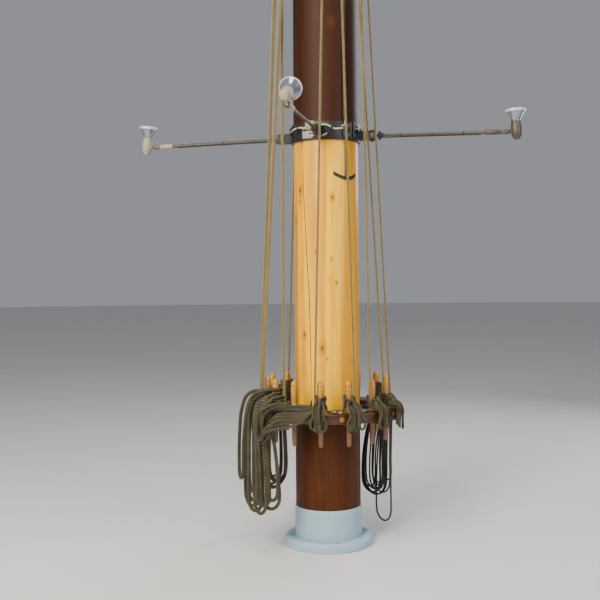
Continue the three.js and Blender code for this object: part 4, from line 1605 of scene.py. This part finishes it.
@dataclass
class PinRail:
    """The ring rail with its bungs and scarf joints, the iron hoop under it and the belaying pins.

    The spare pins lift out. The inner radius is the rail's, and the hole is a pin hole's radius. The hoop has
    an arm under each bung. The gap is half of what a joint stands open. The shaft is rows of a pin's radius
    and its height above the rail.
    """

    spare: tuple = (7, 9, 11, 14)
    inner: float = 0.315
    hole: float = 0.0168
    arms: int = 7
    first_arm: float = 9.0
    gap: float = 0.0007
    shaft: tuple = (
        (0, -0.21), (0.006, -0.2095), (0.0105, -0.207), (0.0122, -0.202), (0.0135, -0.196), (0.0148, -0.17),
        (0.0153, -0.12), (0.0155, -0.06), (0.0155, 0.0004), (0.02, 0.0006), (0.021, 0.0025), (0.0212, 0.006),
        (0.02, 0.0095), (0.0178, 0.013), (0.0168, 0.02), (0.0172, 0.032), (0.0185, 0.05), (0.0198, 0.072),
        (0.021, 0.098), (0.0218, 0.122), (0.022, 0.14), (0.0219, 0.15), (0.0204, 0.152), (0.0204, 0.1535),
        (0.0216, 0.1555), (0.0216, 0.162), (0.0204, 0.171), (0.0184, 0.179), (0.015, 0.1865),
        (0.0105, 0.1915), (0.0055, 0.1936), (0, 0.194),
    )

    def pin_spot(self, index: int) -> Station:
        """A pin's place, counted from 0."""
        return Station(FIRST_PIN + 360 / PIN_COUNT * index)

    def rail(self) -> None:
        """Builds the ring with its pin holes, scarf joints and bungs."""
        inner, low, high = self.inner, RAIL_BOTTOM, RAIL_TOP
        ring = [(inner, low), (RAIL_OUT, low), (RAIL_OUT, high), (inner, high)]
        rail = Shape.lathe(fillet(ring, RAIL_ROUND, 4), 112, closed=True)
        holes = Shape()
        for index in range(PIN_COUNT):
            ends = (0, PIN_CIRCLE, low - 0.02), (0, PIN_CIRCLE, high + 0.02)
            holes.with_(self.pin_spot(index).bar(self.hole, *ends, 24))
        rim, above = RAIL_HIGH.x, high + 0.01
        for index in range(self.arms):
            turn = Station(self.first_arm + 360 / self.arms * (index + 0.42)).matrix()
            for back, base in ((-inner + 0.01, high - 0.002), (-rim + 0.0022, low - 0.01)):
                joint = Shape.box((-self.gap, -rim - 0.01, base), (self.gap, back, above))
                holes.with_(joint.moved(turn))
        piece = Piece("pin_rail_ring", "varnished_oak").add(rail.cut(holes), OAK_RAIL)
        middle = (low + high) / 2
        for index in range(self.arms):
            spot = Station(self.first_arm + 360 / self.arms * index)
            bung = spot.bar(0.016, (0, rim - 0.012, middle), (0, rim + 0.0006, middle), 32)
            piece.add(bung.bevel(0.0008), BUNG)
        piece.build("pin_rail")
        hoop = Shape.node("rail_hoop").bevel(0.0025, 2, 25)
        Piece("rail_hoop_iron", "black_iron").add(hoop, IRON).build("rail_hoop")

    def build(self) -> None:
        """Builds the rail, then a pin in each hole; the spare ones ride on bodies of their own."""
        self.rail()
        for index in range(PIN_COUNT):
            number = f"{index + 1:02d}"
            body = f"spare_pin_{number}" if index + 1 in self.spare else "mast"
            place = Matrix.Translation(self.pin_spot(index).at(0, PIN_CIRCLE, RAIL_TOP))
            spin = Matrix.Rotation(radians(77.0 * index), 4, "Z")
            pin = Shape.lathe(self.shaft, 36).moved(place @ spin)
            Piece(f"belaying_pin_{number}", "pin_ash", body).add(pin, PIN_WOOD).build(f"pin_{number}")


@dataclass
class LampRig:
    """The black band with its clamp and cables, and the swinging lamps.

    Attributes:
        arm_height: the arms' level.
        pivot: the arms' pins' distance out.
        face: the band's outer radius.
        lamps: rows of name, angle, tilt towards the mast, tilt pin's distance out and holder's finish; the
            right and back holders take the dark arm metal as painted shade.
        offset: from the tilt pin out to the lamp's axis.
        hub: rows of radius and distance out, at an arm's root.
        coupling: rows of radius and distance from the arm's tip.
        lead: rows of share of the arm's length and distance below its middle.
        holder: rows of radius and height.
        shell: the same for its silvered glass.
        lens: the same for its face.
    """

    arm_height: float = 2.618
    pivot: float = 0.3
    face: float = 0.2195
    # The right and back holders and couplings are in the dark arm metal as painted shade; the real holders
    # are all the same cream.
    lamps: tuple = (
        ("right", 82.0, 4.0, 1.148, ARM_METAL), ("front", -11.8, 66.0, 1.148, CREAM),
        ("left", -108.8, 6.0, 1.235, CREAM), ("back", 172.0, 4.0, 1.148, ARM_METAL),
    )
    offset: float = 0.052
    hub: tuple = (
        (0, 0.338), (0.0235, 0.338), (0.0275, 0.341), (0.0285, 0.346), (0.027, 0.352), (0.0215, 0.358),
        (0.0165, 0.362), (0.015, 0.372), (0, 0.373),
    )
    coupling: tuple = (
        (0, 0.098), (0.012, 0.098), (0.015, 0.094), (0.0158, 0.088), (0.0158, 0.062), (0.0172, 0.059),
        (0.0172, 0.014), (0.0158, 0.01), (0.0148, 0), (0, 0),
    )
    lead: tuple = (
        (0.05, 0.015), (0.18, 0.0124), (0.3, 0.0119), (0.42, 0.0124), (0.54, 0.0119), (0.66, 0.0124),
        (0.8, 0.013),
    )
    holder: tuple = (
        (0, -0.052), (0.0185, -0.052), (0.0222, -0.05), (0.0228, -0.046), (0.0228, -0.04), (0.024, -0.0375),
        (0.0285, -0.032), (0.0322, -0.022), (0.034, -0.008), (0.0342, 0.01), (0.0332, 0.028), (0.0312, 0.043),
        (0.0296, 0.052), (0.0306, 0.056), (0.0306, 0.062), (0, 0.0625),
    )
    shell: tuple = (
        (0, 0.06), (0.0288, 0.0605), (0.03, 0.068), (0.033, 0.076), (0.0385, 0.087), (0.0455, 0.0985),
        (0.053, 0.1095), (0.0585, 0.1175), (0.0618, 0.1225), (0.0618, 0.125), (0, 0.125),
    )
    lens: tuple = (
        (0, 0.118), (0.06, 0.118), (0.0626, 0.1215), (0.0639, 0.126), (0.0639, 0.1315), (0.0622, 0.135),
        (0.059, 0.1362), (0.057, 0.135), (0.048, 0.1378), (0.033, 0.1402), (0.017, 0.1415), (0, 0.1419),
    )

    def clamp(self, piece: Piece) -> None:
        """The band's closing ears with their two bolts, at the right of the mast.

        Args:
            piece: the band.
        """
        spot = Station(39.0)
        low, high, face = 2.574, 2.682, self.face
        for side in (-1, 1):
            ear, pad = side * 0.01, side * 0.032
            ends = (ear - 0.0045, -face - 0.04, low), (ear + 0.0045, -face + 0.004, high)
            piece.add(spot.box(*ends, 0.003), IRON)
            ends = (pad - 0.02, -face - 0.009, low + 0.008), (pad + 0.02, -face + 0.003, high - 0.008)
            piece.add(spot.box(*ends, 0.002), IRON)
            for up in (low + 0.028, high - 0.028):
                head = spot.bar(0.01, (side * 0.038, face + 0.008, up), (side * 0.038, face + 0.016, up), 6)
                piece.add(head.bevel(0.001), BOLT)
        out = face + 0.022
        for up in (low + 0.026, high - 0.026):
            piece.add(spot.bar(0.006, (-0.027, out, up), (0.027, out, up), 12), BOLT)
            for side in (-1, 1):
                nut = spot.bar(0.011, (side * 0.015, out, up), (side * 0.0235, out, up), 6)
                piece.add(nut.bevel(0.001), BOLT)

    def junction(self, piece: Piece) -> None:
        """The cream junction box on the band beside the front lamp, its flat bracket and its loop of cable.

        Args:
            piece: the cable round the band.
        """
        spot = Station(-24.0)
        piece.add(spot.box((-0.034, -0.266, 2.628), (0.03, -0.2188, 2.684), 0.016, 5), CREAM)
        lid = spot.bar(0.022, (-0.002, 0.262, 2.657), (-0.002, 0.274, 2.655), 32, 0.018)
        piece.add(lid.bevel(0.004, 3), CREAM)
        for right, up, end_right, end_up in ((-0.03, 2.646, -0.056, 2.638), (0.02, 2.636, 0.036, 2.618)):
            piece.add(spot.bar(0.0105, (right, 0.243, up), (end_right, 0.24, end_up), 16, 0.0068), CREAM)
        piece.add(spot.box((-0.064, -0.2275, 2.58), (0.006, -0.2188, 2.628), 0.003), ZINC)
        for right in (-0.054, -0.008):
            piece.add(spot.bar(0.0042, (right, 0.227, 2.59), (right, 0.2298, 2.59), 12, 0.0034), BOLT)
        loop = (
            (0.036, 0.24, 2.618), (0.03, 0.24, 2.604), (0.008, 0.24, 2.592), (-0.016, 0.2385, 2.598),
            (-0.02, 0.239, 2.612), (0, 0.244, 2.618), (0.03, 0.25, 2.6), (0.06, 0.242, 2.59),
            (0.086, 0.23, 2.596), (0.1, 0.223, 2.606),
        )
        piece.add(spot.cable(loop, 0.0046), CABLE)

    def feed(self) -> None:
        """The cream cable round the band: its clips, its rise to the mast's cable and the junction box."""
        route = []
        for degrees in range(-108, 253, 12):
            sag = 0.003 * sin(radians(degrees * 6.0))
            near = min(abs((degrees - lamp[1] + 180) % 360 - 180) for lamp in self.lamps)
            lift = 0.0 if near < 14 else -0.018 - 0.01 * cos(radians(degrees * 3.0))
            route.append((degrees, 0.2362 if -36 <= degrees <= -12 else 0.2262, 2.66 + lift + sag))
        line = curved(around([*route, route[0]]), 0.007)
        piece = Piece("band_feed_cable", "cable_sheath").add(cable(line, 0.005), CABLE)
        for degrees in (-80, -52, 8, 60, 110, 140, 200, 228):
            piece.add(Station(degrees).box((-0.006, -0.2345, 2.622), (0.006, -0.2192, 2.668), 0.003), IRON)
        rise = (
            (24, 0.2295, 2.654), (28, 0.23, 2.662), (30.5, 0.2295, 2.684), (32, 0.227, 2.712),
            (32, 0.224, 2.745),
        )
        piece.add(cable(curved(around(rise), 0.004), 0.0046), CABLE)
        self.junction(piece)
        piece.build("band_cable")

    def band(self) -> None:
        """The hoop, the brackets, the clamp, and the rod and strap that hang under it."""
        piece = Piece("lamp_band_iron", "black_iron").add(Shape.node("lamp_band").bevel(0.003, 2, 25), IRON)
        self.clamp(piece)
        for lamp in self.lamps:
            for up, tall in ((2.648, 0.01), (2.588, -0.01)):
                pin = Station(lamp[1]).bar(0.012, (0, self.pivot, up), (0, self.pivot, up + tall), 6)
                piece.add(pin.bevel(0.001), BOLT)
        rod = Station(33.5)
        piece.add(rod.bar(0.0055, (0, 0.2165, 2.345), (0, 0.2165, 2.555), 14), IRON)
        piece.add(rod.bar(0.009, (0, 0.212, 2.556), (0, 0.23, 2.556), 6).bevel(0.001), BOLT)
        piece.add(self.strap(), IRON).build("lamp_band")

    def strap(self) -> Shape:
        """A short black strap on the mast under the band, which dips in its middle."""
        strap = Shape()
        bmesh.ops.create_grid(strap.bm, x_segments=24, y_segments=1, size=0.5)
        for vert in strap.bm.verts:
            share = vert.co.x + 0.5
            up = 2.362 - 0.03 * sin(pi * share) + (0.011 if vert.co.y > 0 else -0.011)
            vert.co = Station(11.0 + 52.0 * share).at(0.0, 0.2092, up)
        bmesh.ops.solidify(strap.bm, geom=strap.bm.faces[:], thickness=-0.004)
        return strap.outward().bevel(0.001, 1)

    def arm(self, name: str, degrees: float, tip: float, tone: Finish) -> None:
        """An arm: its lug and bar, the black hub at its root, the coupling at its tip and the lead along it.

        Args:
            name: the lamp's.
            degrees: its angle.
            tip: the tilt pin's distance out.
            tone: the coupling's finish.
        """
        spot = Station(degrees)
        piece = Piece(f"arm_{name}", "arm_metal", f"arm_{name}")
        piece.add(Shape.node(f"lamp_arm_{name}").bevel(0.0015), ARM_METAL)
        lay_down = Matrix.Translation((0, 0, self.arm_height)) @ Matrix.Rotation(pi / 2, 4, "X")
        lie = spot.matrix() @ lay_down
        piece.add(Shape.lathe(self.hub, 36).moved(lie), IRON)
        end, root = tip - 0.048, 0.33
        piece.add(Shape.lathe([(radius, end - back) for radius, back in self.coupling], 32).moved(lie), tone)
        reach = tip - root
        for share in (0.18, 0.42, 0.66):
            out = root + reach * share
            tie = [(0.0101, out), (0.0114, out), (0.0114, out + 0.006), (0.0101, out + 0.006)]
            piece.add(Shape.lathe(tie, 20, closed=True).moved(lie), BLACK_CABLE)
        lead = [(0.004, root + reach * share, self.arm_height - under) for share, under in self.lead]
        piece.add(spot.cable(lead, 0.0026, 0.006, 10), BLACK_CABLE).build(f"lamp_arm_{name}")

    def head(self, name: str, degrees: float, tilt: float, tip: float, coat: Finish) -> None:
        """A lamp: its knuckle, its holder, and the silvered glass that flares to its face.

        Args:
            name: the lamp's.
            degrees: its angle.
            tilt: its lean towards the mast, in degrees.
            tip: the tilt pin's distance out.
            coat: the holder's finish.
        """
        lean = Matrix.Rotation(-radians(tilt), 4, "X")
        turn = Station(degrees).matrix() @ Matrix.Translation((0, -tip, self.arm_height)) @ lean
        axis = turn @ Matrix.Translation((0, -self.offset, 0))
        collar = ((0.0226, -0.0425), (0.0238, -0.0415), (0.0226, -0.0405))
        piece = Piece(f"head_{name}", "lamp_shell", f"head_{name}")
        rows = ((self.holder, 48, coat), (self.shell, 56, SILVER), (self.lens, 56, LENS), (collar, 40, coat))
        for profile, steps, finish in rows:
            piece.add(Shape.lathe(profile, steps, closed=profile is collar).moved(axis), finish)
        half = 0.0077
        ear = Shape.box((-half, -0.03, -0.011), (half, 0.0, 0.011))
        knuckle = Shape.bar(0.011, Vector((-half, 0, 0)), Vector((half, 0, 0)), 28)
        web = Shape.bar(0.0215, Vector((0, -0.033, 0.0)), Vector((0, -0.015, 0.0)), 28, tip=0.0125)
        for shape, rounded in ((ear, 0.0015), (knuckle, 0.001), (web, 0.001)):
            piece.add(shape.bevel(rounded).moved(turn), coat)
        piece.build(f"lamp_head_{name}")

    def tall_cable(self) -> None:
        """The black cable up the mast from the band, over the upper band, with its staples."""
        low, high, steps, over_band = 2.7, 7.04, 24, 5.29
        rows = []
        for index in range(steps + 1):
            up = low + (high - low) * (index / steps)
            lift = 0.016 * exp(-(((up - over_band) / 0.42) ** 2))
            rows.append((30.0 + 14.0 * (index / steps), spar_radius(up) + 0.0093 + lift, up))
        climb = cable(curved(around(rows), 0.02), 0.0088, 16)
        piece = Piece("mast_feed_cable", "black_sheath").add(climb, BLACK_CABLE)
        half_bow = ((0.0125, -0.004), (0.012, 0.012), (0.007, 0.0195))
        for degrees, _, up in rows[2:steps:2]:
            if abs(up - over_band) >= 0.5:
                radius = spar_radius(up)
                bow = [(-right, radius + out, up) for right, out in half_bow] + [(0.0, radius + 0.021, up)]
                bow += [(right, radius + out, up) for right, out in half_bow[::-1]]
                piece.add(Station(degrees).cable(bow, 0.0016, 0.003, 8), BOLT)
        piece.build("mast_cable")

    def build(self) -> None:
        """Builds the band, its cables and every lamp."""
        self.band()
        self.feed()
        self.tall_cable()
        for name, degrees, tilt, tip, coat in self.lamps:
            self.arm(name, degrees, tip, coat)
            self.head(name, degrees, tilt, tip, coat)


@dataclass
class Tackle:
    """The upper band and the blocks that hang from it.

    The shell's size is half a block's width, thickness and height before its faces are cut flat, which is
    done at the cheek's distance from its middle. The pendant's rope is the strops' too. The sheave is rows of
    radius and distance from its middle.
    """

    band_low: float = 5.25
    band_high: float = 5.33
    shell_size: tuple = (0.052, 0.046, 0.085)
    cheek: float = 0.033
    pendant: Rope = Rope(0.013, DARK_HEMP, sides=8, rings=9)
    sheave: tuple = (
        (0.0092, -0.0098), (0.0408, -0.0098), (0.0418, -0.0086), (0.0355, -0.004), (0.0335, 0),
        (0.0355, 0.004), (0.0418, 0.0086), (0.0408, 0.0098), (0.0092, 0.0098),
    )

    def band(self) -> None:
        """The iron hoop with its lugs and rivets."""
        hoop = Shape.node("upper_band").bevel(0.0025, 2, 25)
        piece = Piece("upper_band_iron", "black_iron").add(hoop, IRON)
        face = spar_radius(self.band_low) + 0.0123
        for index in range(18):
            for up in (self.band_low + 0.014, self.band_high - 0.014):
                ends = (0, face - 0.002, up), (0, face + 0.0022, up)
                piece.add(Station(index * 20.0 + 10.0).bar(0.006, *ends, 10, 0.004), BOLT)
        piece.build("upper_band")

    def shell(self) -> Shape:
        """A block's oval shell about its sheave's pin, flat on both faces, with its mortise."""
        body = Shape()
        bmesh.ops.create_uvsphere(body.bm, u_segments=40, v_segments=24, radius=1.0)
        body.moved(Matrix.Diagonal((*self.shell_size, 1.0)))
        for side in (-1, 1):
            made = bmesh.ops.bisect_plane(
                body.bm, geom=body.bm.verts[:] + body.bm.edges[:] + body.bm.faces[:],
                plane_co=(0, side * self.cheek, 0), plane_no=(0, side, 0), clear_outer=True,
            )
            rim = [item for item in made["geom_cut"] if isinstance(item, bmesh.types.BMEdge)]
            bmesh.ops.holes_fill(body.bm, edges=rim, sides=0)
        return body.bevel(0.004, 3, 24).cut(Shape.box((-0.0495, -0.013, -0.054), (0.0495, 0.013, 0.058)))

    def strop(self) -> list[Vector]:
        """The rope strop's line round the shell, up to its eye under the shackle."""
        rows = [(0.007, 0.114)]
        for index in range(25):
            angle = radians(36 + 288 * index / 24)
            rows.append((0.06 * sin(angle), 0.0925 * cos(angle)))
        rows += [(-0.007, 0.114), (-0.016, 0.134), (-0.013, 0.152), (0.0, 0.16), (0.013, 0.152)]
        rows += [(0.016, 0.134), (0.008, 0.116)]
        return [Vector((across, 0.0, up)) for across, up in rows]

    def block(self, name: str, degrees: float, twist: float, height: float) -> None:
        """One block with its strop, pin plates, seizing and pendant, and its sheave.

        Args:
            name: the block's.
            degrees: its angle.
            twist: its turn about its stem, in degrees.
            height: its sheave pin's.
        """
        spot = Station(degrees)
        turned = spot.matrix() @ Matrix.Rotation(radians(twist), 4, "Z")
        place = Matrix.Translation(spot.at(0, BLOCK_OUT, height)) @ turned
        rope = self.pendant
        piece = Piece(f"block_{name}_shell", "block_elm").add(self.shell().moved(place), BLOCK_WOOD)
        line = curved(self.strop(), rope.step())
        piece.add(rope.along([place @ point for point in line]), rope.finish)
        plate = (0.0115, 20, 0.009)
        rows = ((-0.0315, -0.0355, *plate), (0.0315, 0.0355, *plate), (-0.032, 0.032, 0.0078, 16, None))
        for start, end, radius, sides, tip in rows:
            ends = place @ Vector((0, start, 0)), place @ Vector((0, end, 0))
            piece.add(Shape.bar(radius, *ends, sides, tip), IRON)
        piece.add(seizing(spot, BLOCK_OUT, height + 0.112, 0.0165), TWINE)
        if LUG_BOTTOM - height > 0.2:
            ends = spot.line(((0, BLOCK_OUT, height + 0.15), (0, BLOCK_OUT, LUG_BOTTOM - 0.052)))
            piece.add(rope.along(evenly(ends, rope.step())), rope.finish)
            for up in (height + 0.165, LUG_BOTTOM - 0.075):
                piece.add(seizing(spot, BLOCK_OUT, up, rope.diameter), TWINE)
        piece.add(shackle_on(spot, BLOCK_OUT), IRON).build(f"block_{name}")
        wheel = Shape.lathe(self.sheave, 48, closed=True).moved(place @ Matrix.Rotation(pi / 2, 4, "X"))
        sheave = Piece(f"sheave_{name}_wheel", "sheave_bronze", f"{name}_sheave").add(wheel, BRONZE)
        for index in range(5):
            angle = tau * index / 5
            across, up = 0.021 * cos(angle), 0.021 * sin(angle)
            for side in (-1, 1):
                ends = (place @ Vector((across, side * away, up)) for away in (0.0092, 0.0108))
                sheave.add(Shape.bar(0.0028, *ends, 10), BOLT)
        sheave.build(f"sheave_{name}")

    def build(self) -> None:
        """Builds the band and every block."""
        self.band()
        for name, row in BLOCKS.items():
            self.block(name, *row)


def stud(radius: float, place: tuple, way: tuple, sides: int = 6, tip: float | None = None) -> Shape:
    """A bolt head that reaches from its place some way along."""
    return Shape.bar(radius, Vector(place), Vector(place) + Vector(way), sides, tip)


@dataclass
class Top:
    """The hounds, the crossed timbers, the planked platform and the cap.

    The plank and the seam are widths, and the bolts of the cheeks rows of height and place along the ship.
    """

    plank: float = 0.12
    seam: float = 0.004
    cheek_bolts: tuple = ((6.42, 0.0), (6.68, 0.03), (6.86, -0.05), (7.02, 0.06), (7.13, -0.08))

    def timber(self, node: str, kind: str, finish: Finish, rounded: float, angle: float = 32.0) -> Piece:
        """Starts a piece from a node's own form with its edges rounded."""
        return Piece(f"{node}_{kind}", "top_oak").add(Shape.node(node).bevel(rounded, 2, angle), finish)

    def timbers(self) -> None:
        """The cheeks, trestletrees and crosstrees with their bolts."""
        for side, sign in (("port", 1), ("starboard", -1)):
            cheek = self.timber(f"cheek_{side}", "board", CHEEK_WOOD, 0.006)
            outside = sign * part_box(f"cheek_{side}")[1 if sign > 0 else 0].x - 0.002
            for up, along in self.cheek_bolts:
                cheek.add(stud(0.016, (sign * outside, along, up), (sign * 0.008, 0, 0), 8, 0.013), IRON)
            cheek.build(f"cheek_{side}")
            self.timber(f"trestletree_{side}", "beam", TOP_WOOD, 0.007).build(f"trestletree_{side}")
        for node in ("crosstree_fore", "crosstree_aft"):
            low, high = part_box(node)
            cross = self.timber(node, "beam", BEAM_WOOD, 0.006)
            middle, level = (low.y + high.y) / 2, (low.z + high.z) / 2
            for side in (-1, 1):
                for reach in (side * 0.16, side * 0.2):
                    for edge, out in ((low.y, -1), (high.y, 1)):
                        bolt = stud(0.012, (reach, edge - out * 0.002, level), (0, out * 0.007, 0))
                        cross.add(bolt, IRON)
                end = side * 0.985
                first = (end - 0.012, middle - 0.0452, low.z + 0.028)
                last = (end + 0.012, middle + 0.0452, high.z - 0.0008)
                cross.add(Shape.box(first, last).bevel(0.002), IRON)
            cross.build(node)

    def platform(self) -> None:
        """The planks, cut to the top's outline, with open seams and treenails."""
        low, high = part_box("top_platform")
        seams = Shape()
        count = round((high.x - low.x) / self.plank)
        for index in range(1, count):
            x = low.x + (high.x - low.x) * index / count
            for base, tip in ((high.z - 0.007, high.z + 0.01), (low.z - 0.01, low.z + 0.007)):
                ends = (x - self.seam / 2, low.y - 0.01, base), (x + self.seam / 2, high.y + 0.01, tip)
                seams.with_(Shape.box(*ends))
        deck = Shape.node("top_platform").cut(seams).bevel(0.0015, 1, 40)
        piece = Piece("top_planks", "top_oak").add(deck, TOP_WOOD)
        for index in range(count):
            x = low.x + (high.x - low.x) * (index + 0.5) / count
            for y in (-0.52, 0.25):
                for shift in (-0.03, 0.03) if abs(x) > 0.345 or y > 0.21 or y < -0.48 else ():
                    spot = Vector((x + shift, y + shift * 0.5, high.z - 0.001))
                    piece.add(Shape.bar(0.007, spot, spot + Vector((0, 0, 0.0009)), 10), BUNG)
        piece.build("top_platform")

    def cap(self) -> None:
        """The cap with its bolts."""
        low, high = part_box("mast_cap")
        piece = self.timber("mast_cap", "block", TOP_WOOD, 0.005, 40)
        for up in (low.z + 0.035, high.z - 0.035):
            for side in (-1, 1):
                for y in (-0.4, -0.22, -0.02, 0.14):
                    place = (side * (high.x - 0.002), y, up)
                    piece.add(stud(0.009, place, (side * 0.0018, 0, 0)), IRON)
        piece.build("mast_cap")

    def build(self) -> None:
        """Builds the top."""
        self.timbers()
        self.platform()
        self.cap()


def main() -> None:
    """Builds the camera and the hung-up lines first, then the rest from the foot upwards."""
    logging.basicConfig(level=logging.INFO, format="%(name)s %(message)s")
    studio = Studio()
    studio.camera()
    for assembly in (Hanks(), Falls(), Spar(), PinRail(), LampRig(), Tackle(), Top()):
        assembly.build()
        LOG.info("%s done", type(assembly).__name__)
    studio.set()


if __name__ == "__main__":
    main()
